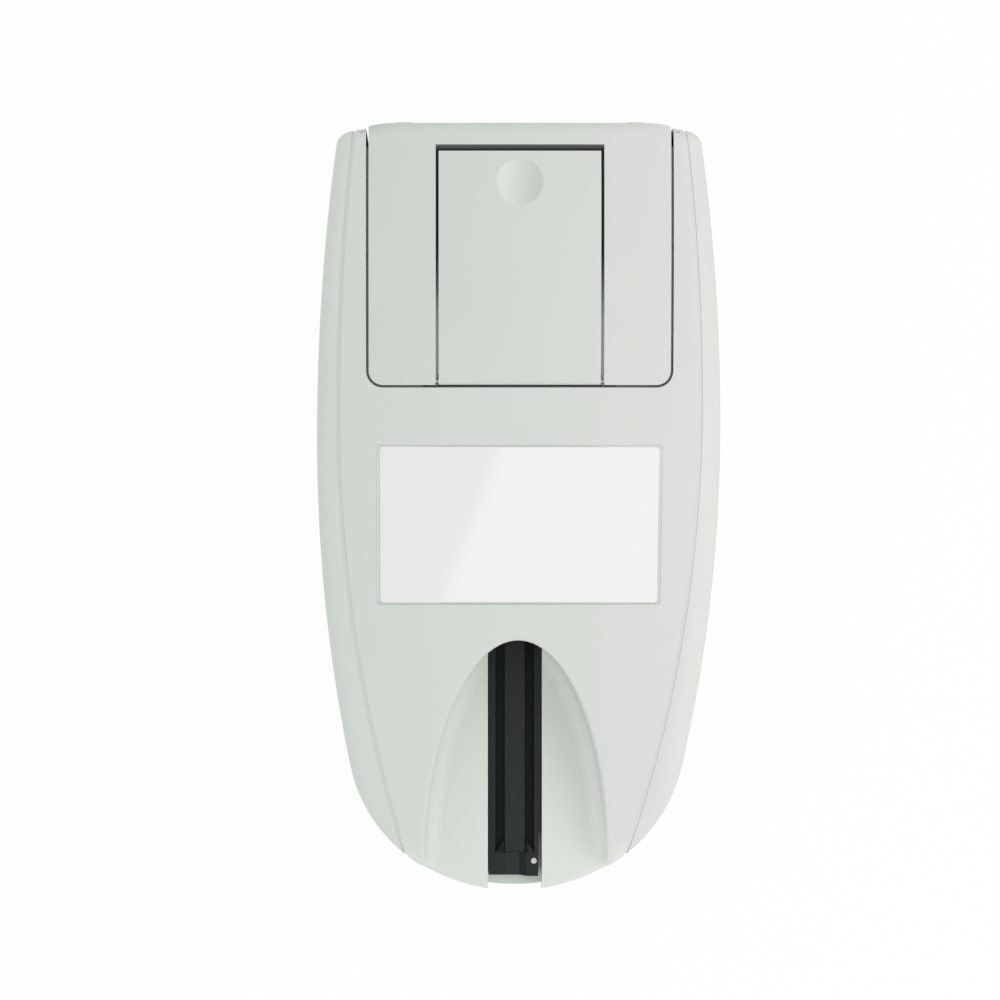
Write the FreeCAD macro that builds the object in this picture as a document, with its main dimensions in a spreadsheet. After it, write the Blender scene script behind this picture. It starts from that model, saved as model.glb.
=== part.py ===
import FreeCAD, Part
import Sketcher
import math
import os
import re
from types import SimpleNamespace
from FreeCAD import Placement, Rotation, Vector

# Bench-top strip analyzer: wedge-shaped housing, sliding strip tray, display and receipt printer.
# Millimetres, +Z up, front towards -Y, origin on the table under the middle of the object.

# Driving dimensions. Each name is an alias in the sheet.
SIZES = {
    # Housing
    "case_length": 290, "case_width": 150, "case_height": 95, "wall": 2.5,
    "widest_setback": 120, "nose_radius": 75, "nose_corner_radius": 61, "front_side_radius": 637,
    "side_radius": 850, "rear_setback": 1.8,
    "rear_flat": 84, "rear_sweep_radius": 120, "rear_corner_radius": 5,
    "deck_radius": 620, "deck_high_setback": 33, "crown_radius": 2400, "shoulder_radius": 10,
    "parting_height": 26, "base_inset": 1.2, "base_edge_radius": 4, "foot_height": 3,
    "foot_radius": 7, "foot_recess": 1, "foot_spread": 92, "foot_front_setback": 75,
    "foot_rear_setback": 25, "seam_gap": 0.95, "run_gap": 0.3, "boss_radius": 3.5,
    "crease_half_width": 67.4, "crease_setback": 110, "crease_rear_radius": 950,
    "crease_front_radius": 575, "crease_width": 1.3, "crease_depth": 0.35, "overrun": 5,
    # Case screws
    "screw_shank_radius": 1.5, "screw_head_radius": 2.8, "screw_head_height": 2,
    "screw_length": 12, "screw_grip": 2.5, "case_boss_spread": 116, "case_boss_rear_setback": 40,
    "case_boss_front_spread": 92, "case_boss_front_setback": 55,
    # Scooped valley and tray channel
    "valley_width": 70, "valley_length": 89.8, "valley_front_setback": 9, "valley_height": 33,
    "valley_foot_radius": 6, "valley_lip_radius": 2, "channel_width": 21,
    "channel_height": 23.7, "tunnel_height": 38, "channel_end_gap": 0.3,
    # Strip tray and its rack
    "tray_side_gap": 0.35, "tray_length": 150, "tray_front_setback": 5.9, "tray_top_height": 32,
    "tray_plate": 4, "tray_skirt": 2, "groove_inner": 3.9, "groove_outer": 7.5,
    "groove_depth": 1.8, "groove_front_margin": 8.8, "tray_tab": 0.5, "tray_tab_start": 1.6,
    "tray_tab_full": 4.8, "pin_hole_radius": 1.1, "pin_hole_side": 7.4, "pin_hole_margin": 5.4,
    "hook_length": 5, "hook_width": 3.3, "strip_rib": 0.5, "notch_width": 1.1, "notch_length": 16.5,
    "tray_travel": 85, "rack_width": 5, "pad_length": 12, "pad_width": 5, "pad_thickness": 1,
    "pad_setback": 98,
    # Gears of the tray drive
    "drive_module": 0.8, "drive_teeth": 16, "pinion_teeth": 12, "pressure_angle": 25,
    "addendum_share": 0.8, "dedendum_share": 1.05, "backlash_share": 0.12, "drive_width": 4,
    "drive_hub_radius": 3.2, "drive_hub_length": 8.4, "axle_radius": 1.5, "running_gap": 0.05,
    "drive_gear_setback": 145, "pinion_angle": -32, "cheek_thickness": 2, "cheek_length": 14,
    "cheek_drop": 6.5,
    # Tray motor
    "motor_radius": 7.5, "motor_length": 12, "motor_shaft_radius": 1, "motor_ear": 11.5,
    "motor_plate": 1, "bracket_thickness": 1.5, "motor_standoff": 13, "motor_screw_radius": 1,
    "motor_screw_head": 1.9, "motor_screw_length": 4, "bracket_foot": 12,
    # Tray guide
    "guide_wall": 2.5, "guide_rear_setback": 42, "guide_post_radius": 3.5,
    # Optics
    "optics_setback": 103, "optics_length": 30, "optics_width": 28, "optics_height": 22,
    "optics_bore_radius": 5, "optics_wall": 1.5, "optics_clear": 2.3, "lens_thickness": 3,
    "lens_radius_of_face": 9, "window_side": 13, "window_thickness": 1, "led_board_side": 6,
    "board_thickness": 1.6,
    # Display
    "screen_setback": 149, "recess_width": 105.5, "recess_length": 60.2, "glass_width": 103,
    "glass_length": 58.8, "glass_thickness": 1.2, "glass_radius": 1.2, "recess_depth": 3,
    "recess_step": 1,
    "screen_opening_width": 96, "screen_opening_length": 52,
    "gasket_width": 2, "gasket_thickness": 0.4, "module_thickness": 5, "module_rim": 1.5,
    "display_screw_length": 6, "display_boss_radius": 2.4,
    # Printer cover and paper door
    "cover_width": 111, "cover_front_setback": 193.5, "cover_corner_radius": 5.2,
    "cover_foot_drop": 51, "cover_wall": 2.3, "cover_rear_radius": 5, "cover_rear_proud": 1.2,
    "cover_flat": 92, "cover_sweep_radius": 37.6, "grip_inner": 39.5, "grip_outer": 45.5,
    "grip_proud": 0.6, "grip_low_drop": 43, "grip_top_gap": 8, "rim_width": 3,
    "rim_thickness": 4, "moat_depth": 2.4, "door_width": 59.6, "door_length": 85.7, "slot_width": 62.4,
    "slot_length": 3, "ledge_width": 2.2, "ledge_thickness": 1.5, "hinge_barrel_radius": 1.4,
    "hinge_pin_radius": 0.7, "hinge_bore_depth": 4.6, "lug_width": 4,
    "lug_radius": 2.2, "dimple_radius": 8.6, "dimple_depth": 1.5, "dimple_margin": 11,
    # Paper cradle
    "roll_width": 58, "cradle_radius": 25, "cradle_setback": 64, "cradle_axis_drop": 29,
    "cradle_wall": 2, "cradle_rim_drop": 15, "shelf_drop": 34, "shelf_thickness": 2,
    "shelf_rear_setback": 7, "tower_radius": 4, "tower_spread": 82, "tower_front_margin": 6,
    "tower_rear_margin": 22, "shelf_width": 90, "ribbon_slot": 3,
    # Printer
    "platen_radius": 5, "platen_setback": 15, "platen_drop": 13, "platen_shaft_radius": 2,
    "platen_length": 56, "frame_thickness": 1.5, "frame_top_drop": 8, "frame_front": 17,
    "frame_rear": 6.5, "bush_radius": 3.4, "bush_flange_radius": 4.4, "bush_flange": 0.8,
    "printer_module": 0.6, "platen_teeth": 24, "idler_teeth": 20, "printer_pinion_teeth": 12,
    "printer_gear_width": 2.4, "printer_gear_gap": 0.8, "printer_motor_back": 10,
    "printer_motor_drop": 11.7, "printer_motor_length": 16, "head_width": 54, "head_height": 11,
    "head_thickness": 1.6, "head_sink": 3.7, "spring_leaf": 0.5, "spring_width": 20,
    "tear_thickness": 1, "tear_depth": 2.4, "tear_teeth": 24, "tear_drop": 0.6,
    "tear_sink": 1.4,
    "sensor_size": 4, "printer_screw_length": 10,
    # Main board and its parts
    "main_board_width": 104, "main_board_front_setback": 195, "main_board_rear_gap": 1.2,
    "main_board_height": 9, "board_boss_radius": 3, "board_hole_margin": 5, "board_rear_margin": 25,
    "board_screw_length": 5, "board_screw_head": 1.5, "chip_large": 14, "chip_small": 8,
    "chip_height": 1.4, "capacitor_radius": 4, "capacitor_height": 9, "cell_radius": 10,
    "cell_thickness": 3.2, "holder_radius": 11.5, "holder_floor": 1, "buzzer_radius": 6,
    "buzzer_height": 6.5, "buzzer_hole_radius": 1.2,
    # Rear connectors and switch
    "jack_width": 9, "jack_height": 11, "jack_depth": 13, "jack_mouth_radius": 3.2,
    "jack_pin_radius": 1, "jack_side": 33, "port_clear": 0.4, "serial_width": 31,
    "serial_height": 12.5, "serial_plate": 1, "serial_mouth_width": 17, "serial_mouth_height": 8.4,
    "serial_mouth_depth": 5.6, "serial_body_depth": 12, "serial_side": -15, "serial_shell": 0.6,
    "serial_nut_spread": 25, "serial_nut_radius": 2.4, "serial_nut_length": 5,
    "keyboard_radius": 6.5, "keyboard_shell": 0.8, "keyboard_depth": 13, "keyboard_side": 13,
    "keyboard_floor": 5, "switch_width": 10.5, "switch_height": 15, "switch_bezel": 1.2,
    "switch_depth": 13, "switch_wall": 1.2, "switch_side": -46, "rocker_pivot_depth": 4,
    "rocker_tilt": 7, "rocker_proud": 1.6, "rocker_pin_radius": 1, "rocker_gap": 0.4,
    # Ribbon cables
    "ribbon_thickness": 0.3, "display_ribbon_width": 20, "display_ribbon_side": 24,
    "printer_ribbon_width": 18, "optics_ribbon_width": 8, "plug_height": 3, "plug_depth": 4,
}

# Heights that follow the case height, as formulas of the sheet.
FOLLOWING = {
    "cover_foot_height": "=case_height - cover_foot_drop",
    "grip_low_height": "=case_height - grip_low_drop",
    "cradle_axis_height": "=case_height - cradle_axis_drop",
    "cradle_rim_height": "=case_height - cradle_rim_drop",
    "shelf_height": "=case_height - shelf_drop",
    "platen_height": "=case_height - platen_drop",
    "frame_top_height": "=case_height - frame_top_drop",
}
CELLS = SIZES | FOLLOWING

doc = FreeCAD.newDocument("strip_analyzer")
sheet = doc.addObject("Spreadsheet::Sheet", "sizes")
for row, (alias, value) in enumerate(CELLS.items(), start=1):
    sheet.set(f"A{row}", alias)
    sheet.set(f"B{row}", str(value))
    sheet.setAlias(f"B{row}", alias)
doc.recompute()
s = SimpleNamespace(**{alias: float(sheet.get(alias)) for alias in CELLS})

# Places worked out from the sheet
NOSE_SAG = s.nose_radius - math.sqrt(s.nose_radius**2 - (s.channel_width / 2) ** 2)
FRONT = -s.case_length / 2 - NOSE_SAG
REAR = s.case_length / 2
REAR_FACE = REAR - s.rear_setback
HALF = s.case_width / 2
WIDEST = REAR - s.widest_setback
DECK_HIGH = REAR - s.deck_high_setback
FLOOR = s.foot_height + s.wall
VALLEY_END = FRONT + s.valley_front_setback
ARCH = VALLEY_END + s.valley_length
TRAY_HALF = s.channel_width / 2 - s.tray_side_gap
TRAY_FRONT = FRONT + s.tray_front_setback
TRAY_REAR = TRAY_FRONT + s.tray_length
TRAY_LOW = s.channel_height + s.run_gap
DRIVE_RADIUS = s.drive_module * s.drive_teeth / 2
PITCH_LINE = TRAY_LOW + s.drive_module * (1 + s.addendum_share) + s.run_gap
DRIVE_AT = Vector(0, FRONT + s.drive_gear_setback, PITCH_LINE - DRIVE_RADIUS)
COVER_FRONT = FRONT + s.cover_front_setback
COVER_REAR = REAR_FACE + s.cover_rear_proud
DOOR_FRONT = COVER_FRONT
DOOR_REAR = COVER_FRONT + s.door_length
SLOT_REAR = DOOR_REAR + s.slot_length
PLATEN_AT = Vector(0, REAR - s.platen_setback, s.platen_height)
CRADLE_Y = REAR - s.cradle_setback
BOARD_TOP = s.main_board_height + s.board_thickness
SCREEN_Y = REAR - s.screen_setback
IDENTITY = Placement()
FLANK_STEPS = 3
SERIAL_TAPER = 10


def bound(text):
    """Expression text with every alias written as a cell of the sheet."""
    return re.sub(r"[a-z_]+", lambda w: "sizes." + w.group() if w.group() in CELLS else w.group(), text)


def bind(item, **sizes):
    """Bind properties of an object to expressions of the sheet."""
    for name, text in sizes.items():
        item.setExpression(name, bound(text))


def place(x=0.0, y=0.0, z=0.0):
    """Placement at a point with no turn."""
    return Placement(Vector(x, y, z), Rotation())


def box(label, length, width, height, x=0.0, y=0.0, z=0.0):
    """Box bound to the sheet; x and y are its middle and z its underside."""
    item = doc.addObject("Part::Box", label)
    bind(item, Length=length, Width=width, Height=height)
    doc.recompute()
    item.Placement = place(x - item.Length.Value / 2, y - item.Width.Value / 2, z)
    return item


AXIS_TURNS = {
    "-z": Rotation(Vector(1, 0, 0), 180),
    "x": Rotation(Vector(0, 1, 0), 90),
    "y": Rotation(Vector(1, 0, 0), -90),
    "z": Rotation(),
}


def rod(label, radius, length, start, axis="z"):
    """Cylinder bound to the sheet, from a start point along an axis."""
    item = doc.addObject("Part::Cylinder", label)
    bind(item, Radius=radius, Height=length)
    item.Placement = Placement(start, AXIS_TURNS[axis])
    return item


def fuse(label, *pieces):
    """One solid of several."""
    item = doc.addObject("Part::MultiFuse", label)
    item.Shapes = list(pieces)
    return item


def cut(label, base, *tools):
    """Base with the tools taken away."""
    item = doc.addObject("Part::Cut", label)
    item.Base = base
    item.Tool = tools[0] if len(tools) == 1 else fuse(label + "_tools", *tools)
    return item


def group(label, pieces):
    """Separate solids kept together as one sub-part."""
    item = doc.addObject("Part::Compound", label)
    item.Links = list(pieces)
    return item


def solid(label, shape):
    """Sub-part whose shape Part's own functions made."""
    item = doc.addObject("Part::Feature", label)
    item.Shape = shape.removeSplitter() if len(shape.Solids) == 1 else shape
    item.Placement = IDENTITY
    return item


def sketch_outline(body, role, label, corners):
    """Closed outline in a body's origin plane, each corner bound to a pair of expressions."""
    sketch = body.newObject("Sketcher::SketchObject", label)
    plane = next(item for item in body.Origin.OriginFeatures if item.Role == role)
    sketch.AttachmentSupport = [(plane, "")]
    sketch.MapMode = "FlatFace"
    count = len(corners)
    turns = [math.tau * i / count for i in range(count)]
    starts = [Vector(math.cos(turn), math.sin(turn), 0) for turn in turns]
    for i in range(count):
        sketch.addGeometry(Part.LineSegment(starts[i], starts[(i + 1) % count]), False)
    for i in range(count):
        sketch.addConstraint(Sketcher.Constraint("Coincident", i, 2, (i + 1) % count, 1))
    for i, pair in enumerate(corners):
        for kind, text in zip(("DistanceX", "DistanceY"), pair):
            at = sketch.addConstraint(Sketcher.Constraint(kind, -1, 1, i, 1, 1.0))
            sketch.setExpression(f"Constraints[{at}]", bound(text))
    return sketch


def padded(label, role, corners, length):
    """Body padded from one outline."""
    body = doc.addObject("PartDesign::Body", label)
    sketch = sketch_outline(body, role, label + "_outline", corners)
    pad = body.newObject("PartDesign::Pad", label + "_pad")
    pad.Profile = sketch
    bind(pad, Length=length)
    return body


def screw(label, start, length, axis="z", head="screw_head", shank="screw_shank_radius"):
    """Pan-head screw; start is the tip and the head is at the far end."""
    sizes = {
        "screw_head": ("screw_head_radius", "screw_head_height"),
        "motor_screw_head": ("motor_screw_head", "motor_screw_head / 2"),
        "board_screw_head": ("screw_head_radius", "board_screw_head"),
    }[head]
    along = AXIS_TURNS[axis].multVec(Vector(0, 0, getattr(s, length)))
    return fuse(
        label,
        rod(label + "_shank", shank, length, start, axis),
        rod(label + "_head", sizes[0], sizes[1], start + along, axis),
    )


def cylinder(radius, height, at, axis=Vector(0, 0, 1)):
    """Shape of a plain cylinder."""
    return Part.makeCylinder(radius, height, at, axis)


def brick(x, y, z):
    """Shape of a box between pairs of limits."""
    return Part.makeBox(x[1] - x[0], y[1] - y[0], z[1] - z[0], Vector(x[0], y[0], z[0]))


# Housing outline and deck

def meeting_points(centre_a, radius_a, centre_b, radius_b):
    """The two points where two circles of the plan meet, the front one first."""
    gap = centre_b - centre_a
    along = (radius_a**2 - radius_b**2 + gap.Length**2) / (2 * gap.Length)
    across = math.sqrt(radius_a**2 - along**2)
    unit = Vector(gap).normalize()
    side = Vector(-unit.y, unit.x, 0)
    points = [centre_a + unit * along + side * across, centre_a + unit * along - side * across]
    return sorted(points, key=lambda point: point.y)


def plan_arc(centre, radius, start, end):
    """Arc of a plan circle between two of its points, the short way round."""
    middle = (start + end) * 0.5 - centre
    return Part.Arc(start, centre + middle.normalize() * radius, end).toShape()


def housing_outline(inset):
    """Closed plan outline of the housing, moved in by an inset."""
    nose = Vector(0, FRONT + s.nose_radius, 0)
    side = Vector(HALF - s.front_side_radius, WIDEST, 0)
    rear_side = Vector(HALF - s.side_radius, WIDEST, 0)
    sweep = Vector(s.rear_flat / 2, REAR_FACE - s.rear_sweep_radius, 0)
    turn = s.nose_corner_radius
    bend, _ = meeting_points(nose, s.nose_radius - turn, side, s.front_side_radius - turn)
    _, corner = meeting_points(rear_side, s.side_radius - inset, sweep, s.rear_sweep_radius - inset)
    front_joint = bend + (bend - nose).normalize() * (turn - inset)
    side_joint = bend + (bend - side).normalize() * (turn - inset)
    widest = Vector(HALF - inset, WIDEST, 0)
    flat = Vector(s.rear_flat / 2, REAR_FACE - inset, 0)
    half = [
        plan_arc(nose, s.nose_radius - inset, Vector(0, FRONT + inset, 0), front_joint),
        plan_arc(bend, turn - inset, front_joint, side_joint),
        plan_arc(side, s.front_side_radius - inset, side_joint, widest),
        plan_arc(rear_side, s.side_radius - inset, widest, corner),
        plan_arc(sweep, s.rear_sweep_radius - inset, corner, flat),
        Part.makeLine(flat, Vector(0, REAR_FACE - inset, 0)),
    ]
    both = half + [edge.mirror(Vector(), Vector(1, 0, 0)) for edge in half]
    return Part.Wire(Part.__sortEdges__(both))


def prism(wire, low, high):
    """Straight prism of a plan outline between two heights."""
    return Part.Face(wire).extrude(Vector(0, 0, high - low)).translated(Vector(0, 0, low))


def deck_height(y, x=0.0, drop=0.0):
    """Height of the crowned deck at a plan point."""
    crown = s.crown_radius - math.sqrt(s.crown_radius**2 - x**2)
    fall = s.deck_radius - math.sqrt(s.deck_radius**2 - (y - DECK_HIGH) ** 2)
    return s.case_height - drop - crown - fall


def under_deck(drop):
    """Everything under the deck, with the deck moved down by a drop."""
    top = s.case_height - drop
    half = s.case_width
    fall = s.crown_radius - math.sqrt(s.crown_radius**2 - half**2)
    low = top - s.case_width
    ends = [Vector(-half, DECK_HIGH, top - fall), Vector(half, DECK_HIGH, top - fall)]
    feet = [Vector(-half, DECK_HIGH, low), Vector(half, DECK_HIGH, low)]
    crown = Part.Arc(ends[0], Vector(0, DECK_HIGH, top), ends[1]).toShape()
    corners = [ends[1], feet[1], feet[0], ends[0]]
    sides = [Part.makeLine(a, b) for a, b in zip(corners, corners[1:])]
    face = Part.Face(Part.Wire([crown] + sides))
    pivot = Vector(0, DECK_HIGH, top - s.deck_radius)
    rear_turn = math.degrees(math.asin(2 * s.deck_high_setback / s.deck_radius))
    front_turn = math.degrees(math.asin((DECK_HIGH - FRONT + s.deck_high_setback) / s.deck_radius))
    face.rotate(pivot, Vector(1, 0, 0), -rear_turn)
    return face.revolve(pivot, Vector(1, 0, 0), rear_turn + front_turn)


def single_edges(faces):
    """Edges that only one of the faces has."""
    count = {}
    for face in faces:
        for edge in face.Edges:
            count.setdefault(edge.hashCode(), []).append(edge)
    return [edges[0] for edges in count.values() if len(edges) == 1]


def housing_block(inset, low):
    """Solid housing above a height: outline, crowned deck, rounded shoulders and rear corners."""
    block = prism(housing_outline(inset), low, s.case_height + s.wall).common(under_deck(inset))
    rear_zone = REAR_FACE - inset - s.rear_corner_radius * 2
    shoulders = [
        edge for edge in block.Edges
        if edge.BoundBox.ZMin > low + s.wall and edge.BoundBox.YMin < rear_zone and not is_upright(edge)
    ]
    block = block.makeFillet(s.shoulder_radius - inset, shoulders)
    rear_faces = [face for face in block.Faces if is_rear_face(face, rear_zone)]
    corners = [edge for edge in single_edges(rear_faces) if edge.BoundBox.ZMax > low + s.wall]
    return block.makeFillet(s.rear_corner_radius - inset, corners)


def is_upright(edge):
    """Whether an edge is a straight line along Z."""
    size = edge.BoundBox
    return size.XLength + size.YLength < size.ZLength / s.case_height


def is_rear_face(face, rear_zone):
    """Whether a face is part of the rear wall."""
    first, last, low, high = face.ParameterRange
    normal = face.normalAt((first + last) / 2, (low + high) / 2)
    return normal.y > abs(normal.x) and normal.y > abs(normal.z) and face.CenterOfMass.y > rear_zone


def valley_tool(grow):
    """Space of the scooped valley, or of the valley with its wall when grown."""
    width = s.valley_width / 2 + grow
    length = s.valley_length + grow
    low = s.valley_height - grow
    left, right = Vector(-width, VALLEY_END, 0), Vector(width, VALLEY_END, 0)
    ellipse = Part.Ellipse(Vector(0, VALLEY_END + length, 0), right, Vector(0, VALLEY_END, 0))
    arch = Part.ArcOfEllipse(ellipse, -math.pi / 2, math.pi / 2).toShape()
    front = FRONT - s.overrun - grow
    near = [Vector(-width, front, 0), Vector(width, front, 0)]
    corners = [right, near[1], near[0], left]
    lines = [Part.makeLine(a, b) for a, b in zip(corners, corners[1:])]
    wire = Part.Wire(Part.__sortEdges__([arch] + lines))
    tool = prism(wire, low, s.case_height + s.wall)
    foot = [
        edge for edge in tool.Edges
        if edge.BoundBox.ZMax < low + s.wall / 2 and edge.BoundBox.YMax > front + s.overrun / 2
    ]
    return tool.makeFillet(s.valley_foot_radius + grow, foot)


def channel_tool(grow, low_grow, top):
    """Straight tray channel from the nose to just behind the arch."""
    half = s.channel_width / 2 + grow
    return brick((-half, half), (FRONT - s.overrun, ARCH + s.wall), (s.channel_height - low_grow, top))


def lip_edges(shape):
    """Edges where the valley wall meets the deck."""
    found = []
    for edge in shape.Edges:
        middle = edge.valueAt((edge.FirstParameter + edge.LastParameter) / 2)
        ends = [edge.valueAt(edge.FirstParameter), edge.valueAt(edge.LastParameter)]
        points = [middle] + ends
        on_wall = all(abs(valley_share(point) - 1) < s.running_gap / s.wall for point in points)
        high = middle.z > s.valley_height + s.valley_foot_radius / 2
        if on_wall and high and not is_upright(edge):
            found.append(edge)
    return found


def valley_share(point):
    """How far out a plan point lies, as a share of the valley's outline."""
    across = point.x / (s.valley_width / 2)
    along = max(point.y - VALLEY_END, 0) / s.valley_length
    return math.hypot(across, along)


def crease_tool():
    """Thin upright band that follows the crease of each side."""
    bands = []
    middle = REAR - s.crease_setback
    for inset in (0, s.crease_width):
        half = s.crease_half_width - inset
        ends = []
        for radius, end in ((s.crease_rear_radius, REAR + s.overrun), (s.crease_front_radius, FRONT)):
            reach = end - middle
            ends.append(Vector(half - radius + math.sqrt(radius**2 - reach**2), end, 0))
        bands.append((ends[0], Vector(half, middle, 0), ends[1]))
    edges = []
    for rear, widest, front in bands:
        for radius, end in ((s.crease_rear_radius, rear), (s.crease_front_radius, front)):
            edges.append(plan_arc(Vector(widest.x - radius, middle, 0), radius, end, widest))
    edges.append(Part.makeLine(bands[0][0], bands[1][0]))
    edges.append(Part.makeLine(bands[0][2], bands[1][2]))
    band = prism(Part.Wire(Part.__sortEdges__(edges)), s.parting_height, s.case_height + s.wall)
    return band.fuse(band.mirror(Vector(), Vector(1, 0, 0)))


def screen_place():
    """Place of the display: origin in the middle of the recess floor, tilted with the deck."""
    tilt = -math.degrees(math.asin((SCREEN_Y - DECK_HIGH) / s.deck_radius))
    turn = Rotation(Vector(1, 0, 0), tilt)
    surface = Vector(0, SCREEN_Y, deck_height(SCREEN_Y))
    return Placement(surface - turn.multVec(Vector(0, 0, s.recess_depth)), turn)


def rounded_plate(width, length, thickness, radius, low=0.0):
    """Plate centred on Z with rounded upright corners."""
    plate = Part.makeBox(width, length, thickness, Vector(-width / 2, -length / 2, low))
    return plate.makeFillet(radius, [edge for edge in plate.Edges if is_upright(edge)])


def case_boss_places():
    """Plan places of the bosses that hold the two shells together."""
    rear = REAR - s.case_boss_rear_setback
    front = FRONT + s.case_boss_front_setback
    return [
        Vector(side * spread / 2, y, 0)
        for spread, y in ((s.case_boss_spread, rear), (s.case_boss_front_spread, front))
        for side in (-1, 1)
    ]


def cover_opening(grow):
    """Space that the printer cover takes out of the top shell."""
    half = s.cover_width / 2 + grow
    front = COVER_FRONT - grow
    heights = (s.cover_foot_height - grow, s.case_height + s.wall)
    tool = brick((-half, half), (front, REAR + s.overrun), heights)
    corners = [edge for edge in tool.Edges if is_upright(edge) and edge.CenterOfMass.y < front + s.wall]
    return tool.makeFillet(s.cover_corner_radius + grow, corners)


def cover_rim():
    """Ledge under the edge of the cover opening, which follows the deck, with a groove under the gap."""
    outside = s.cover_width / 2 + s.seam_gap + s.rim_width / 2
    inside = s.cover_width / 2 - s.rim_width
    front = COVER_FRONT - s.seam_gap - s.rim_width / 2
    rear = REAR_FACE - s.wall - s.rear_corner_radius
    heights = (s.cover_foot_height, s.case_height)
    plan = brick((-outside, outside), (front, rear), heights)
    hole = brick((-inside, inside), (COVER_FRONT + s.rim_width, REAR), heights)
    top = s.cover_wall + s.running_gap
    beside_door = s.slot_width / 2 + s.lug_width + s.run_gap
    notch = brick((-beside_door, beside_door), (COVER_FRONT - s.run_gap, REAR), heights)
    band = plan.cut([hole, notch]).common(under_deck(top)).cut(under_deck(top + s.rim_thickness))
    moat = cover_opening(s.seam_gap).cut(cover_opening(0)).cut(under_deck(top + s.moat_depth))
    return band.cut(moat)


def make_top_shell():
    """Upper moulding: crowned hood with the scooped valley, tray channel, screen recess and bosses."""
    low = s.parting_height
    outer = housing_block(0, low)
    void = housing_block(s.wall, low - s.overrun)
    carved = outer.cut(valley_tool(0))
    carved = carved.makeFillet(s.valley_lip_radius, lip_edges(carved))
    wall_block = channel_tool(s.wall, s.wall, s.valley_height)
    nose = prism(housing_outline(0), low, s.valley_height)
    nose = nose.fuse(prism(housing_outline(s.base_inset), s.channel_height - s.wall, low))
    chin = wall_block.common(nose)
    void = void.cut(valley_tool(s.wall)).cut(wall_block)
    shell = carved.cut(void).fuse(chin)
    shell = shell.cut(channel_tool(0, 0, s.tunnel_height))
    frame = screen_place()
    recess = rounded_plate(s.recess_width, s.recess_length, s.wall * 2, s.glass_radius, s.recess_step)
    pocket_width = s.glass_width + 2 * s.run_gap
    pocket_length = s.glass_length + 2 * s.run_gap
    pocket = rounded_plate(pocket_width, pocket_length, s.wall * 2, s.glass_radius + s.run_gap)
    pan_width = s.recess_width + s.wall * 2
    pan_length = s.recess_length + s.wall * 2
    pan_corner = s.glass_radius + s.wall
    pan = rounded_plate(pan_width, pan_length, s.wall + s.recess_step, pan_corner, -s.wall)
    window = rounded_plate(
        s.screen_opening_width, s.screen_opening_length, s.wall * 3, s.glass_radius, -s.wall * 2
    )
    for shape in (recess, pocket, pan, window):
        shape.Placement = frame
    bosses = []
    inside = housing_block(s.wall / 2, low)
    for at in case_boss_places():
        bosses.append(cylinder(s.boss_radius, s.case_height, at + Vector(0, 0, low)))
    shell = shell.fuse([pan] + [boss.common(inside) for boss in bosses])
    holes = [
        cylinder(s.screw_shank_radius, s.screw_length, at + Vector(0, 0, low - s.screw_grip))
        for at in case_boss_places()
    ]
    depth = s.wall + s.module_thickness
    posts = []
    for x, y in display_screw_places():
        post = cylinder(s.display_boss_radius, depth, Vector(x, y, -depth))
        hole = cylinder(s.motor_screw_radius, depth - s.wall / 2, Vector(x, y, -depth))
        for shape, store in ((post, posts), (hole, holes)):
            shape.Placement = frame
            store.append(shape)
    shell = shell.fuse(posts)
    shell = shell.cut([recess, pocket, window] + holes)
    shell = shell.cut(cover_opening(s.seam_gap)).fuse(cover_rim())
    skin = outer.cut(housing_block(s.crease_depth, low - s.overrun))
    shell = shell.cut(crease_tool().common(skin))
    ends = (FRONT - s.overrun, REAR + s.overrun)
    left = shell.common(brick((-s.case_width, 0), ends, (0, s.case_height + s.wall)))
    return solid("top_shell", left.fuse(left.mirror(Vector(), Vector(1, 0, 0))))


def display_screw_places():
    """Places of the display screws in the display's own frame."""
    across = s.screen_opening_width / 2 + s.display_boss_radius + s.module_rim
    along = s.screen_opening_length / 2 - s.display_boss_radius
    return [(side * across, end * along) for side in (-1, 1) for end in (-1, 1)]


def rear_uprights(shape):
    """The two upright edges at the rear corners of a prism."""
    side = s.rear_flat / 2 + s.wall
    uprights = [edge for edge in shape.Edges if is_upright(edge)]
    return [edge for edge in uprights if edge.CenterOfMass.y > WIDEST and abs(edge.CenterOfMass.x) > side]


def four_places(spread, rear_y, front_y):
    """Two pairs of plan points, one pair behind the other."""
    return [Vector(side * spread / 2, y, 0) for y in (rear_y, front_y) for side in (-1, 1)]


def tower_places():
    """Plan places of the towers that carry the printer shelf."""
    front = CRADLE_Y - s.cradle_radius - s.cradle_wall + s.tower_front_margin
    return four_places(s.tower_spread, REAR - s.tower_rear_margin, front)


def shelf_low():
    """Height of the underside of the printer shelf."""
    return s.shelf_height - s.shelf_thickness


def guide_span():
    """Front and rear ends of the tray guide."""
    return ARCH + s.wall + s.channel_end_gap, REAR - s.guide_rear_setback


def guide_post_places():
    """Plan places of the posts under the tray guide's ears."""
    front, rear = guide_span()
    spread = s.channel_width + 2 * s.guide_wall + 2 * s.guide_post_radius
    return four_places(spread, rear - 2 * s.guide_post_radius, front + 2 * s.guide_post_radius)


def board_span():
    """Front and rear edges of the main board."""
    rear_wall = REAR_FACE - s.base_inset - s.wall
    return FRONT + s.main_board_front_setback, rear_wall - s.main_board_rear_gap


def board_boss_places():
    """Plan places of the main board's bosses."""
    front, rear = board_span()
    margin = s.board_hole_margin
    return four_places(s.main_board_width - 2 * margin, rear - s.board_rear_margin, front + margin)


def foot_places():
    """Plan places of the rubber feet."""
    return four_places(s.foot_spread, REAR - s.foot_rear_setback, FRONT + s.foot_front_setback)


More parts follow.
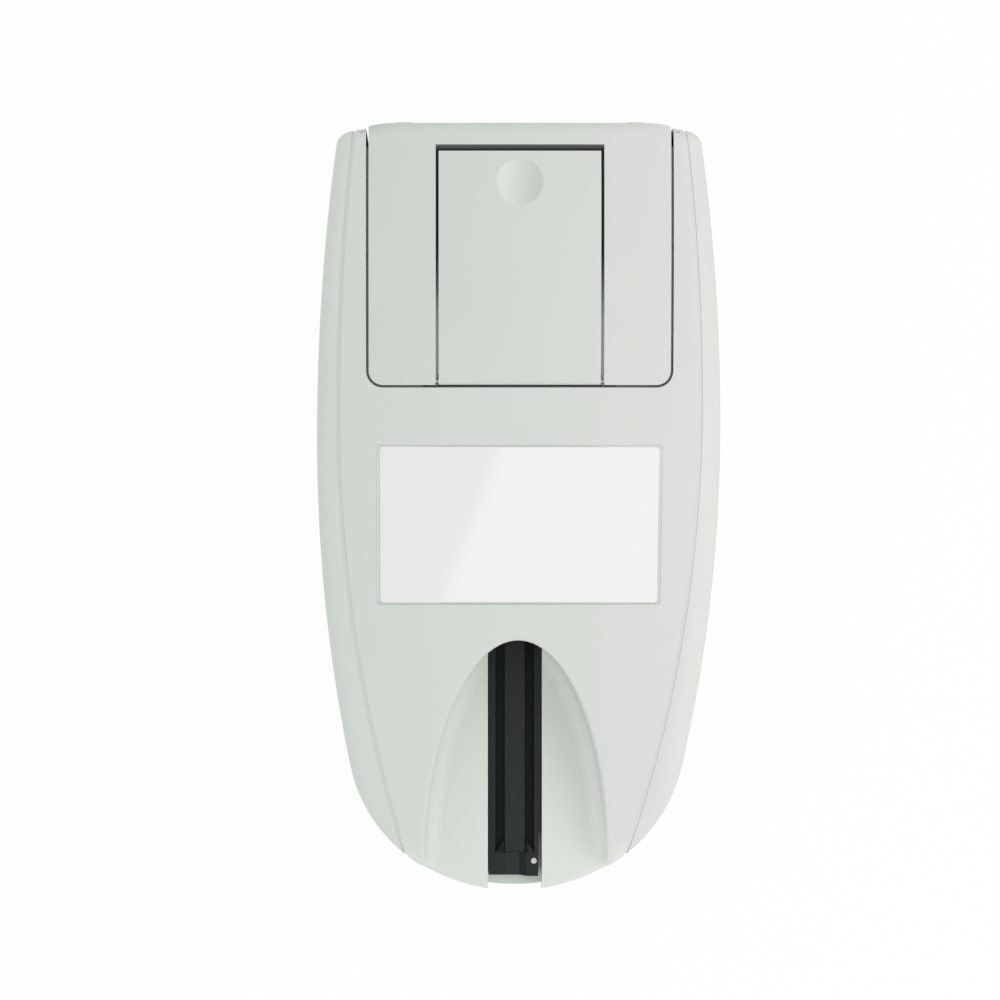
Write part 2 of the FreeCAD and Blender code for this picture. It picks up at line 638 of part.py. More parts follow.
def port_heights():
    """Height of each rear connector's axis, standing on the main board."""
    return {
        "jack": BOARD_TOP + s.jack_height / 2,
        "serial": BOARD_TOP + s.serial_height / 2,
        "keyboard": BOARD_TOP + s.keyboard_radius,
        "switch": BOARD_TOP + s.switch_height / 2,
    }


def serial_profile(grow, start, depth):
    """Tapered connector mouth along Y, grown by a clearance."""
    half = s.serial_mouth_width / 2 + grow
    rise = s.serial_mouth_height / 2 + grow
    taper = s.serial_mouth_height / 2 * math.tan(math.radians(SERIAL_TAPER))
    height = port_heights()["serial"]
    corners = [(-half, rise), (half, rise), (half - taper, -rise), (-half + taper, -rise)]
    points = [Vector(s.serial_side + x, start, height + z) for x, z in corners]
    tool = Part.Face(Part.makePolygon(points + points[:1])).extrude(Vector(0, depth, 0))
    long_edges = [edge for edge in tool.Edges if edge.BoundBox.YLength > depth / 2]
    return tool.makeFillet(s.serial_mouth_height / 5 + grow, long_edges)


def rear_port_openings():
    """Openings in the rear wall for the connectors and the switch."""
    heights = port_heights()
    inner = REAR_FACE - s.base_inset - s.wall
    start, depth = inner - s.overrun, s.wall + 2 * s.overrun
    gap = s.port_clear
    jack = brick(
        (s.jack_side - s.jack_width / 2 - gap, s.jack_side + s.jack_width / 2 + gap),
        (start, start + depth),
        (BOARD_TOP - gap, BOARD_TOP + s.jack_height + gap),
    )
    ring = cylinder(
        s.keyboard_radius + gap, depth, Vector(s.keyboard_side, start, heights["keyboard"]), Vector(0, 1, 0)
    )
    half, rise = switch_body_half()
    switch = brick(
        (s.switch_side - half - s.running_gap, s.switch_side + half + s.running_gap),
        (start, start + depth),
        (heights["switch"] - rise - s.running_gap, heights["switch"] + rise + s.running_gap),
    )
    nuts = [cylinder(s.screw_shank_radius, depth, at, Vector(0, 1, 0)) for at in nut_places(start)]
    return [jack, ring, switch, serial_profile(gap, start, depth)] + nuts


def nut_places(y):
    """Points on the axes of the serial port's two nuts."""
    height = port_heights()["serial"]
    return [Vector(s.serial_side + side * s.serial_nut_spread / 2, y, height) for side in (-1, 1)]


def switch_body_half():
    """Half width and half height of the switch body behind its bezel."""
    return s.switch_width / 2 - s.switch_wall / 2, s.switch_height / 2 - s.switch_wall / 2


def make_base_shell():
    """Lower moulding: floor, walls, screw bosses, printer towers and the rear connector openings."""
    tub = prism(housing_outline(s.base_inset), s.foot_height, s.parting_height)
    tub = tub.makeFillet(s.rear_corner_radius - s.base_inset, rear_uprights(tub))
    tub = tub.makeFillet(s.base_edge_radius, [edge for edge in tub.Edges if edge.BoundBox.ZMax < FLOOR])
    room = prism(housing_outline(s.base_inset + s.wall), FLOOR, s.parting_height + s.overrun)
    room = room.makeFillet(s.rear_corner_radius - s.base_inset - s.wall, rear_uprights(room))
    guide_low = s.channel_height - s.wall
    stands = (
        (case_boss_places(), s.screw_head_radius + s.wall / 2, s.parting_height),
        (tower_places(), s.tower_radius, shelf_low()),
        (guide_post_places(), s.guide_post_radius, guide_low),
        (board_boss_places(), s.board_boss_radius, s.main_board_height),
    )
    posts = []
    for places, radius, top in stands:
        posts += [cylinder(radius, top - FLOOR, at + Vector(0, 0, FLOOR)) for at in places]
    bores = (
        (case_boss_places(), s.screw_head_radius + s.run_gap, 0, s.parting_height - s.screw_grip),
        (case_boss_places(), s.screw_shank_radius, 0, s.parting_height),
        (tower_places(), s.screw_shank_radius, s.shelf_height - s.printer_screw_length, shelf_low()),
        (guide_post_places(), s.motor_screw_radius, s.channel_height - s.board_screw_length, guide_low),
        (board_boss_places(), s.motor_screw_radius, FLOOR, s.main_board_height),
        (foot_places(), s.foot_radius, 0, s.foot_height + s.foot_recess),
    )
    holes = []
    for places, radius, low, high in bores:
        holes += [cylinder(radius, high - low, at + Vector(0, 0, low)) for at in places]
    chin = s.channel_width / 2 + s.wall + s.run_gap
    low = s.channel_height - s.wall - s.run_gap
    holes.append(brick((-chin, chin), (FRONT, FRONT + s.nose_radius), (low, s.parting_height + s.overrun)))
    holes += rear_port_openings()
    return solid("base_shell", tub.cut(room).fuse(posts).cut(holes))


def make_feet():
    """Four rubber feet, each a tapered pad pressed into a round recess."""
    feet = []
    for index, at in enumerate(foot_places()):
        foot = doc.addObject("Part::Cone", f"foot_{index}")
        bind(foot, Radius1="foot_radius - foot_recess", Radius2="foot_radius", Height="foot_height")
        foot.Placement = place(at.x, at.y)
        root = rod(f"foot_root_{index}", "foot_radius", "foot_recess", at + Vector(0, 0, s.foot_height))
        feet.append(fuse(f"foot_{index}_whole", foot, root))
    return group("rubber_feet", feet)


def screw_group(label, starts, length, axis, head="screw_head", shank="screw_shank_radius"):
    """Identical screws kept as one sub-part; each start is a screw's tip."""
    screws = [screw(f"{label}_{i}", at, length, axis, head, shank) for i, at in enumerate(starts)]
    return group(label, screws)


def small_screws(label, starts, length, axis="z"):
    """Group of the small screws that hold boards, motors and guides."""
    return screw_group(label, starts, length, axis, "motor_screw_head", "motor_screw_radius")


def make_case_screws():
    """Screws that go up through the base shell into the top shell."""
    tip = s.parting_height - s.screw_grip + s.screw_length
    tips = [at + Vector(0, 0, tip) for at in case_boss_places()]
    return screw_group("case_screws", tips, "screw_length", "-z")


# Printer cover and paper door

def make_printer_cover():
    """Rear cover over the printer: follows the deck, wraps the rear edge, open in front for the door."""
    half, rear = s.cover_width / 2, COVER_REAR
    sweep = Vector(s.cover_flat / 2, rear - s.cover_sweep_radius, 0)
    reach = half - sweep.x
    corner = Vector(half, sweep.y + math.sqrt(s.cover_sweep_radius**2 - reach**2), 0)
    flat = Vector(s.cover_flat / 2, rear, 0)
    near = Vector(half, COVER_FRONT, 0)
    one_side = [
        Part.makeLine(Vector(0, COVER_FRONT, 0), near), Part.makeLine(near, corner),
        plan_arc(sweep, s.cover_sweep_radius, corner, flat), Part.makeLine(flat, Vector(0, rear, 0)),
    ]
    both = one_side + [edge.mirror(Vector(), Vector(1, 0, 0)) for edge in one_side]
    body = prism(Part.Wire(Part.__sortEdges__(both)), s.cover_foot_height, s.case_height + s.wall)
    body = body.makeFillet(
        s.cover_corner_radius,
        [edge for edge in body.Edges if is_upright(edge) and edge.CenterOfMass.y < COVER_FRONT + s.wall
         and abs(edge.CenterOfMass.x) > s.door_width / 2],
    ).common(under_deck(0))
    top_rear = [
        edge for edge in body.Edges
        if edge.BoundBox.YMin > corner.y - s.wall and edge.BoundBox.ZMin > s.case_height - s.shoulder_radius
    ]
    body = body.makeFillet(s.cover_rear_radius, top_rear)
    room = brick((-s.case_width, s.case_width), (0, rear - s.cover_wall), (0, s.case_height + s.wall))
    room = room.common(under_deck(s.cover_wall))
    upper = s.case_height - s.shoulder_radius * 2
    rear_edges = [edge for edge in room.Edges if edge.BoundBox.YMin > rear - s.wall * 2]
    inner_rear = [edge for edge in rear_edges if edge.BoundBox.ZMin > upper]
    room = room.makeFillet(s.cover_rear_radius - s.cover_wall, inner_rear)
    cover = body.cut(room)
    ribs = [
        brick(
            sorted((side * s.grip_inner, side * s.grip_outer)), (rear - s.cover_wall, rear + s.grip_proud),
            (s.grip_low_height, s.case_height - s.grip_top_gap),
        )
        for side in (-1, 1)
    ]
    ribs = [rib.makeFillet(s.grip_proud / 2, [e for e in rib.Edges if e.CenterOfMass.y > rear]) for rib in ribs]
    slot_half = s.slot_width / 2
    opening = brick((-slot_half, slot_half), (COVER_FRONT - s.overrun, SLOT_REAR), (0, s.case_height + s.wall))
    cover = cover.fuse(ribs + hinge_lugs()).cut(opening).fuse(door_ledges())
    axis = hinge_axis()
    pin_start = Vector(-slot_half - s.lug_width, axis.y, axis.z)
    pin = cylinder(s.hinge_pin_radius, s.slot_width + 2 * s.lug_width, pin_start, Vector(1, 0, 0))
    return solid("printer_cover", cover.cut(pin))


def hinge_axis():
    """A point on the paper door's hinge axis."""
    y = DOOR_FRONT + s.hinge_barrel_radius
    return Vector(0, y, deck_height(y, s.door_width / 2) - s.hinge_barrel_radius)


def hinge_lugs():
    """Lugs under the cover, beside the door, that hold the hinge pins."""
    axis = hinge_axis()
    lugs = []
    for side in (-1, 1):
        limits = sorted((side * s.slot_width / 2, side * (s.slot_width / 2 + s.lug_width)))
        heights = (axis.z - s.lug_radius, axis.z + s.lug_radius)
        lug = brick(limits, (COVER_FRONT, axis.y + s.lug_radius), heights)
        lugs.append(lug.common(under_deck(s.running_gap)))
    return lugs


def door_ledges():
    """Strips that carry the side edges of the closed door, with a low sill beside the hinge."""
    axis = hinge_axis()
    ledges = []
    outer = s.slot_width / 2 + s.ledge_width
    inner = s.door_width / 2 - s.ledge_width
    span = (axis.y + s.lug_radius + s.run_gap * 2, DOOR_REAR)
    sill_heights = (axis.z - s.lug_radius, axis.z - s.hinge_pin_radius - s.run_gap)
    low = under_deck(s.cover_wall + s.run_gap + s.ledge_thickness)
    for side in (-1, 1):
        under_door = brick(sorted((side * inner, side * outer)), span, (s.cover_foot_height, s.case_height))
        under_cover = brick(
            sorted((side * s.slot_width / 2, side * outer)), span, (s.cover_foot_height, s.case_height)
        )
        strip = under_door.common(under_deck(s.cover_wall + s.run_gap))
        strip = strip.fuse(under_cover.common(under_deck(s.cover_wall - s.running_gap)))
        sill = sorted((side * (s.door_width / 2 + s.run_gap), side * s.slot_width / 2))
        ledges += [strip.cut(low), brick(sill, (COVER_FRONT, span[0]), sill_heights)]
    return ledges


def make_paper_door():
    """Hinged door over the paper roll, with a finger dimple and a hinge barrel along its front edge."""
    axis = hinge_axis()
    half = s.door_width / 2
    plate = brick((-half, half), (axis.y, DOOR_REAR), (s.cover_foot_height, s.case_height + s.wall))
    plate = plate.common(under_deck(0)).cut(under_deck(s.cover_wall))
    barrel = cylinder(s.hinge_barrel_radius, s.door_width, Vector(-half, axis.y, axis.z), Vector(1, 0, 0))
    dimple_y = DOOR_REAR - s.dimple_margin
    ball = (s.dimple_radius**2 + s.dimple_depth**2) / (2 * s.dimple_depth)
    dimple = Part.makeSphere(ball, Vector(0, dimple_y, deck_height(dimple_y) - s.dimple_depth + ball))
    bore_radius = s.hinge_pin_radius + s.running_gap
    bores = [
        cylinder(bore_radius, s.hinge_bore_depth, Vector(x, axis.y, axis.z), Vector(1, 0, 0))
        for x in (-half, half - s.hinge_bore_depth)
    ]
    return solid("paper_door", plate.fuse(barrel).cut([dimple] + bores))


def make_hinge_pins():
    """Two short pins from the cover's lugs into the door's barrel."""
    axis = hinge_axis()
    outer = s.slot_width / 2 + s.lug_width
    inner = s.door_width / 2 - s.hinge_bore_depth + s.run_gap
    starts = (-outer, inner)
    length = "lug_width + hinge_bore_depth + (slot_width - door_width) / 2 - run_gap"
    pins = [
        rod(f"hinge_pin_{i}", "hinge_pin_radius", length, Vector(x, axis.y, axis.z), "x")
        for i, x in enumerate(starts)
    ]
    return group("door_hinge_pins", pins)


def make_tear_bar():
    """Toothed strip along the rear edge of the paper slot."""
    pitch = s.roll_width / s.tear_teeth
    top = deck_height(SLOT_REAR, s.roll_width / 2) - s.tear_sink
    low = top - s.cover_wall - s.tear_depth
    y = SLOT_REAR - s.tear_thickness
    points = [Vector(-s.roll_width / 2, y, low)]
    for i in range(int(s.tear_teeth)):
        x = -s.roll_width / 2 + i * pitch
        points += [Vector(x, y, top - s.tear_drop), Vector(x + pitch / 2, y, top)]
    points += [Vector(s.roll_width / 2, y, top - s.tear_drop), Vector(s.roll_width / 2, y, low)]
    bar = Part.Face(Part.makePolygon(points + points[:1])).extrude(Vector(0, s.tear_thickness, 0))
    return solid("tear_bar", bar)


# Gears

def gear_outline(module, teeth, centre, phase, x):
    """Gear outline with involute flanks in the plane across X, one tooth at the phase angle."""
    pressure = math.radians(s.pressure_angle)
    pitch = module * teeth / 2
    base = pitch * math.cos(pressure)
    tip = pitch + module * s.addendum_share
    root = pitch - module * s.dedendum_share
    half_tooth = math.pi / (2 * teeth) - s.backlash_share * 2 / teeth
    involute = math.tan(pressure) - pressure
    points = []
    for i in range(int(teeth)):
        middle = phase + math.tau * i / teeth
        flank = []
        for step in range(FLANK_STEPS + 1):
            radius = max(root, base) + (tip - max(root, base)) * step / FLANK_STEPS
            angle = math.acos(min(base / radius, 1))
            flank.append((radius, half_tooth + involute - (math.tan(angle) - angle)))
        flank.insert(0, (root, flank[0][1]))
        points += [(radius, middle - angle) for radius, angle in flank]
        points += [(radius, middle + angle) for radius, angle in reversed(flank)]
    corners = [centre + Vector(0, r * math.cos(a), r * math.sin(a)) for r, a in points]
    corners = [Vector(x, point.y, point.z) for point in corners]
    return Part.makePolygon(corners + corners[:1])


def gear(module, teeth, centre, phase, width, bore, x=None):
    """Toothed wheel about an X axis, centred on x = 0 unless a start is given."""
    start = -width / 2 if x is None else x
    wheel = Part.Face(gear_outline(module, teeth, centre, phase, start)).extrude(Vector(width, 0, 0))
    return wheel.cut(cylinder(bore, width, Vector(start, centre.y, centre.z), Vector(1, 0, 0)))


def meshing_phase(teeth, phase, centre, next_teeth, next_centre):
    """Phase of the next gear so that its gap faces this gear's tooth."""
    line = math.atan2(next_centre.z - centre.z, next_centre.y - centre.y)
    return line + math.pi + math.pi / next_teeth + teeth / next_teeth * (line - phase)


def make_tray_gears():
    """Drive gear under the tray's rack and the motor pinion that turns it."""
    upright = math.pi / 2
    bore = s.axle_radius + s.running_gap
    wheel = gear(s.drive_module, s.drive_teeth, DRIVE_AT, upright, s.drive_width, bore)
    hub_start = Vector(-s.drive_hub_length / 2, DRIVE_AT.y, DRIVE_AT.z)
    hub = cylinder(s.drive_hub_radius, s.drive_hub_length, hub_start, Vector(1, 0, 0))
    hub = hub.cut(cylinder(bore, s.drive_hub_length, hub_start, Vector(1, 0, 0)))
    pinion_at = tray_pinion_place()
    phase = meshing_phase(s.drive_teeth, upright, DRIVE_AT, s.pinion_teeth, pinion_at)
    pinion = gear(s.drive_module, s.pinion_teeth, pinion_at, phase, s.drive_width, s.motor_shaft_radius)
    end = s.motor_standoff + s.motor_length - s.motor_plate
    shaft_start = pinion_at - Vector(s.drive_width / 2, 0, 0)
    shaft = cylinder(s.motor_shaft_radius, end + s.drive_width / 2, shaft_start, Vector(1, 0, 0))
    return solid("drive_gear", wheel.fuse(hub)), solid("motor_pinion", pinion.fuse(shaft))


def tray_pinion_place():
    """Centre of the tray motor's pinion."""
    distance = s.drive_module * (s.drive_teeth + s.pinion_teeth) / 2
    angle = math.radians(s.pinion_angle)
    return DRIVE_AT + Vector(0, distance * math.cos(angle), distance * math.sin(angle))


def make_drive_axle():
    """Pin that carries the drive gear between the guide's cheeks."""
    outer = s.drive_hub_length / 2 + s.run_gap + s.cheek_thickness
    return rod(
        "drive_gear_axle", "axle_radius", "drive_hub_length + 2 * run_gap + 2 * cheek_thickness",
        Vector(-outer, DRIVE_AT.y, DRIVE_AT.z), "x",
    )


# Strip tray

def make_strip_tray():
    """Sliding tray: raised strip bed between two grooves, side skirts and a rack underneath."""
    plate_low = s.tray_top_height - s.tray_plate
    rear = TRAY_REAR
    plan = [
        Vector(-TRAY_HALF, TRAY_FRONT, 0), Vector(s.tray_tab_start, TRAY_FRONT, 0),
        Vector(s.tray_tab_full, TRAY_FRONT - s.tray_tab, 0), Vector(TRAY_HALF, TRAY_FRONT - s.tray_tab, 0),
        Vector(TRAY_HALF, rear, 0), Vector(-TRAY_HALF, rear, 0),
    ]
    body = prism(Part.makePolygon(plan + plan[:1]), plate_low, s.tray_top_height)
    groove_front = TRAY_FRONT + s.groove_front_margin
    groove_low = s.tray_top_height - s.groove_depth
    cuts, adds = [], []
    for side in (-1, 1):
        limits = sorted((side * s.groove_inner, side * s.groove_outer))
        cuts.append(brick(limits, (groove_front, rear + s.overrun), (groove_low, s.case_height)))
        skirt = sorted((side * (TRAY_HALF - s.tray_skirt), side * TRAY_HALF))
        adds.append(brick(skirt, (TRAY_FRONT, rear), (TRAY_LOW, plate_low)))
        hook_inner = side * (s.groove_outer - s.hook_width)
        hook = [
            Vector(side * s.groove_outer, groove_front, 0),
            Vector(hook_inner, groove_front, 0),
            Vector(hook_inner, groove_front + s.hook_length, 0),
        ]
        adds.append(prism(Part.makePolygon(hook + hook[:1]), groove_low, s.tray_top_height))
    bed_heights = (s.tray_top_height - s.strip_rib, s.case_height)
    cuts.append(brick((-s.groove_inner, s.groove_inner), (groove_front, rear + s.overrun), bed_heights))
    cuts.append(cylinder(s.pin_hole_radius, s.case_height, tray_pin_place()))
    cuts.append(brick(*pad_limits()))
    whole = body.cut(cuts).fuse(adds + [tray_rack()])
    notch_side = (TRAY_HALF - s.notch_width, TRAY_HALF + s.overrun)
    notch_span = (TRAY_FRONT - s.overrun, TRAY_FRONT + s.notch_length)
    return solid("strip_tray", whole.cut(brick(notch_side, notch_span, (0, s.case_height))))


def tray_pin_place():
    """Place of the white pin on the tray plate's underside."""
    return Vector(s.pin_hole_side, TRAY_FRONT + s.pin_hole_margin, s.tray_top_height - s.tray_plate)


def make_tray_pin():
    """White pin at the tray's front right corner, flush with the plate."""
    return rod("tray_pin", "pin_hole_radius", "tray_plate", tray_pin_place())


def pad_limits():
    """Limits of the white reference pad in the tray's bed."""
    top = s.tray_top_height - s.strip_rib
    start = FRONT + s.pad_setback
    return (-s.pad_width / 2, s.pad_width / 2), (start, start + s.pad_length), (top - s.pad_thickness, top)


def make_reference_pad():
    """White pad that the optics read before each strip."""
    (x, _), (y, _), (z, _) = pad_limits()
    pad = doc.addObject("Part::Box", "reference_pad")
    bind(pad, Length="pad_width", Width="pad_length", Height="pad_thickness")
    pad.Placement = place(x, y, z)
    return pad


def tray_rack():
    """Toothed rib under the tray; a gap stands over the drive gear at rest."""
    module = s.drive_module
    pitch = math.pi * module
    slope = math.tan(math.radians(s.pressure_angle))
    top = s.tray_top_height - s.tray_plate
    root = PITCH_LINE + module * s.dedendum_share
    tip = PITCH_LINE - module * s.addendum_share
    half = pitch / 4 - module * s.backlash_share
    foot, crest = half + (root - PITCH_LINE) * slope, half - (PITCH_LINE - tip) * slope
    ahead = int((s.tray_travel + 2 * pitch) / pitch)
    outline = []
    for i in range(-ahead, 2):
        middle = DRIVE_AT.y + (i + 0.5) * pitch
        outline += [(middle - foot, root), (middle - crest, tip), (middle + crest, tip), (middle + foot, root)]
    outline += [(outline[-1][0], top), (outline[0][0], top)]
    points = [Vector(-s.rack_width / 2, y, z) for y, z in outline]
    return Part.Face(Part.makePolygon(points + points[:1])).extrude(Vector(s.rack_width, 0, 0))


# Tray guide, motor and sensor

def make_tray_guide():
    """Inner guide that carries on the tray channel, with cheeks for the drive gear."""
    front, rear = guide_span()
    half, outer = s.channel_width / 2, s.channel_width / 2 + s.guide_wall
    low = s.channel_height - s.wall
    guide = brick((-outer, outer), (front, rear), (low, s.valley_height))
    guide = guide.cut(brick((-half, half), (front, rear), (s.channel_height, s.valley_height)))
    ears = []
    for at in guide_post_places():
        radius = s.guide_post_radius
        inner = sorted((math.copysign(half + s.guide_wall / 2, at.x), at.x))
        ears.append(cylinder(radius, s.wall, Vector(at.x, at.y, low)))
        ears.append(brick(inner, (at.y - radius, at.y + radius), (low, s.channel_height)))
    inner = s.drive_hub_length / 2 + s.run_gap
    cheeks = [
        brick(
            sorted((side * inner, side * (inner + s.cheek_thickness))),
            (DRIVE_AT.y - s.cheek_length / 2, DRIVE_AT.y + s.cheek_length / 2),
            (DRIVE_AT.z - s.cheek_drop, low),
        )
        for side in (-1, 1)
    ]
    reach = s.drive_module * (s.drive_teeth / 2 + 1)
    slot_half = s.drive_hub_length / 2
    slot_span = (DRIVE_AT.y - reach, DRIVE_AT.y + reach)
    slot = brick((-slot_half, slot_half), slot_span, (low - s.wall, s.channel_height + s.wall))
    axle = cylinder(s.axle_radius, s.channel_width, DRIVE_AT - Vector(half, 0, 0), Vector(1, 0, 0))
    (x0, x1), (y0, y1), (z0, z1) = sensor_limits()
    edge = s.sensor_size / 4
    eye = brick((x1 - s.overrun, x1 + s.overrun), (y0 + edge, y1 - edge), (z0 + edge, z1 - edge))
    holes = [cylinder(s.motor_screw_radius, s.wall, Vector(at.x, at.y, low)) for at in guide_post_places()]
    return solid("tray_guide", guide.fuse(ears + cheeks).cut([slot, axle, eye] + holes))


def sensor_limits():
    """Limits of the tray position sensor on the guide's left wall."""
    face = -(s.channel_width / 2 + s.guide_wall)
    y = DRIVE_AT.y + s.tray_travel / 2
    size = s.sensor_size
    return (face - size, face), (y - size / 2, y + size / 2), (s.channel_height, s.channel_height + size)


def make_guide_screws():
    """Screws through the guide's ears into the base posts."""
    tip = s.channel_height - s.board_screw_length
    starts = [at + Vector(0, 0, tip) for at in guide_post_places()]
    return small_screws("guide_screws", starts, "board_screw_length")


def make_tray_sensor():
    """Small optical sensor that sees the tray through a window in the guide."""
    (x0, x1), (y0, y1), (z0, z1) = sensor_limits()
    return box("tray_sensor", "sensor_size", "sensor_size", "sensor_size", (x0 + x1) / 2, (y0 + y1) / 2, z0)


def make_tray_motor():
    """Small stepping motor with a two-eared flange, bored for its shaft."""
    at = tray_pinion_place()
    start = Vector(s.motor_standoff, at.y, at.z)
    can = rod("tray_motor_can", "motor_radius", "motor_length", start, "x")
    ear = box(
        "tray_motor_ear", "motor_plate", "2 * motor_ear + 4 * motor_screw_radius", "4 * motor_screw_radius",
        start.x + s.motor_plate / 2, at.y, at.z - 2 * s.motor_screw_radius,
    )
    tools = [
        rod("tray_motor_bore", "motor_shaft_radius + running_gap", "motor_length - motor_plate / 2", start, "x")
    ]
    tools += [
        rod(f"tray_motor_hole_{i}", "motor_screw_radius", "motor_plate", start + Vector(0, y, 0), "x")
        for i, y in enumerate((-s.motor_ear, s.motor_ear))
    ]
    return cut("tray_motor", fuse("tray_motor_body", can, ear), *tools)


def make_motor_bracket():
    """Bent bracket that stands the tray motor on the base floor."""
    at = tray_pinion_place()
    width = "2 * motor_ear + 6 * motor_screw_radius"
    plate_middle = s.motor_standoff - s.bracket_thickness / 2
    upright = box("bracket_upright", "bracket_thickness", width, "motor_radius * 2", plate_middle, at.y, FLOOR)
    foot_middle = s.motor_standoff - s.bracket_foot / 2 + s.run_gap
    foot_length = "bracket_foot - 2 * run_gap"
    foot = box("bracket_foot", foot_length, width, "bracket_thickness", foot_middle, at.y, FLOOR)
    clear = box(
        "bracket_clear", "bracket_foot", "2 * motor_radius", "bracket_thickness",
        s.motor_standoff - s.bracket_thickness - s.bracket_foot / 2, at.y, FLOOR,
    )
    start = Vector(s.motor_standoff - s.bracket_thickness, at.y, at.z)
    tools = [clear, rod("bracket_bore", "motor_shaft_radius * 3", "bracket_thickness", start, "x")]
    tools += [
        rod(f"bracket_hole_{i}", "motor_screw_radius", "bracket_thickness", start + Vector(0, y, 0), "x")
        for i, y in enumerate((-s.motor_ear, s.motor_ear))
    ]
    return cut("motor_bracket", fuse("bracket_body", upright, foot), *tools)


def make_motor_screws():
    """Screws through the motor's ears into the bracket."""
    at = tray_pinion_place()
    tip = s.motor_standoff + s.motor_plate - s.motor_screw_length
    starts = [Vector(tip, at.y + y, at.z) for y in (-s.motor_ear, s.motor_ear)]
    return small_screws("motor_screws", starts, "motor_screw_length", "x")


# Optics over the tray

def optics_place():
    """Middle of the optics housing's underside."""
    return Vector(0, FRONT + s.optics_setback + s.optics_length / 2, s.valley_height)


def make_optics():
    """Reading head: housing astride the tray, window, lens and lamp board with its screws."""
    at = optics_place()
    tunnel = s.tray_top_height + s.optics_clear
    block = box("optics_block", "optics_width", "optics_length", "optics_height", at.x, at.y, at.z)
    gap_height = "tray_top_height + optics_clear - valley_height"
    gap = box("optics_gap", "channel_width", "optics_length", gap_height, 0, at.y, at.z)
    pane = "window_side"
    recess = box("optics_recess", pane, pane, "window_thickness", 0, at.y, tunnel)
    bore = rod("optics_bore", "optics_bore_radius", "optics_height", Vector(0, at.y, tunnel))
    spread = s.optics_width / 2 - s.optics_wall * 2
    reach = s.optics_length / 2 - s.optics_wall * 2
    screw_spots = [Vector(side * spread, at.y + side * reach, 0) for side in (-1, 1)]
    top = at.z + s.optics_height
    tip = top + s.board_thickness - s.display_screw_length
    holes = [
        rod(f"optics_hole_{i}", "motor_screw_radius", "display_screw_length", spot + Vector(0, 0, tip))
        for i, spot in enumerate(screw_spots)
    ]
    cut("optics_housing", block, gap, recess, bore, *holes)
    box("optics_window", pane, pane, "window_thickness", 0, at.y, tunnel)
    lens = doc.addObject("Part::Sphere", "lens_face")
    bind(lens, Radius="lens_radius_of_face")
    seat = tunnel + s.optics_height / 2
    lens.Placement = place(0, at.y, seat + s.lens_thickness - s.lens_radius_of_face)
    disc = rod("lens_disc", "optics_bore_radius", "lens_thickness", Vector(0, at.y, seat))
    rounded = doc.addObject("Part::MultiCommon", "optics_lens")
    rounded.Shapes = [lens, disc]
    board = box(
        "led_board_plate", "optics_width + led_board_side", "optics_length", "board_thickness",
        at.x + s.led_board_side / 2, at.y, top,
    )
    lamp_low = top - s.ribbon_thickness * 4
    lamps = [
        box(f"led_{i}", "plug_height", "plug_height", "ribbon_thickness * 4", x, at.y, lamp_low)
        for i, x in enumerate((-s.optics_bore_radius / 2, s.optics_bore_radius / 2))
    ]
    clear = [
        rod(f"led_hole_{i}", "motor_screw_radius", "board_thickness", spot + Vector(0, 0, top))
        for i, spot in enumerate(screw_spots)
    ]
    plug = box(
        "led_plug", "led_board_side", "optics_ribbon_width", "plug_height",
        at.x + s.optics_width / 2 + s.led_board_side / 2, at.y, top + s.board_thickness,
    )
    fuse("led_board", cut("led_board_drilled", board, *clear), plug, *lamps)
    small_screws("optics_screws", [spot + Vector(0, 0, tip) for spot in screw_spots], "display_screw_length")


# Display

def in_screen(item):
    """Give an object built about the origin the display's place."""
    item.Placement = screen_place()
    return item


def make_display():
    """Window, gasket, display module, its board and screws, all in the tilted screen frame."""
    gasket_top = s.gasket_thickness
    window = rounded_plate(s.glass_width, s.glass_length, s.glass_thickness, s.glass_radius, gasket_top)
    solid("screen_window", window.transformGeometry(screen_place().toMatrix()))
    frame = box("gasket_frame", "glass_width - gasket_width", "glass_length - gasket_width", "gasket_thickness")
    hole = box("gasket_hole", "screen_opening_width", "screen_opening_length", "gasket_thickness")
    in_screen(cut("screen_gasket", frame, hole))
    depth = s.wall + s.module_thickness
    module_width = "screen_opening_width + 2 * module_rim - 2 * run_gap"
    board_width = "screen_opening_width + 8 * display_boss_radius"
    board_length = "screen_opening_length + module_rim"
    module = box("display_module", module_width, board_length, "module_thickness", 0, 0, -depth)
    module.Placement = screen_place().multiply(module.Placement)
    under = -depth - s.board_thickness
    board = box("display_plate", board_width, board_length, "board_thickness", 0, 0, under)
    plug_y = s.screen_opening_length / 2 - s.plug_depth
    plug = box(
        "display_plug", "display_ribbon_width", "plug_depth", "plug_height", -s.display_ribbon_side, plug_y,
        -depth - s.board_thickness - s.plug_height,
    )
    spots = [Vector(x, y, -depth - s.board_thickness) for x, y in display_screw_places()]
    holes = [
        rod(f"display_hole_{i}", "motor_screw_radius", "board_thickness", at)
        for i, at in enumerate(spots)
    ]
    in_screen(cut("display_board", fuse("display_board_whole", board, plug), *holes))
    tips = [spot + Vector(0, 0, s.display_screw_length) for spot in spots]
    in_screen(small_screws("display_screws", tips, "display_screw_length", "-z"))


# Printer

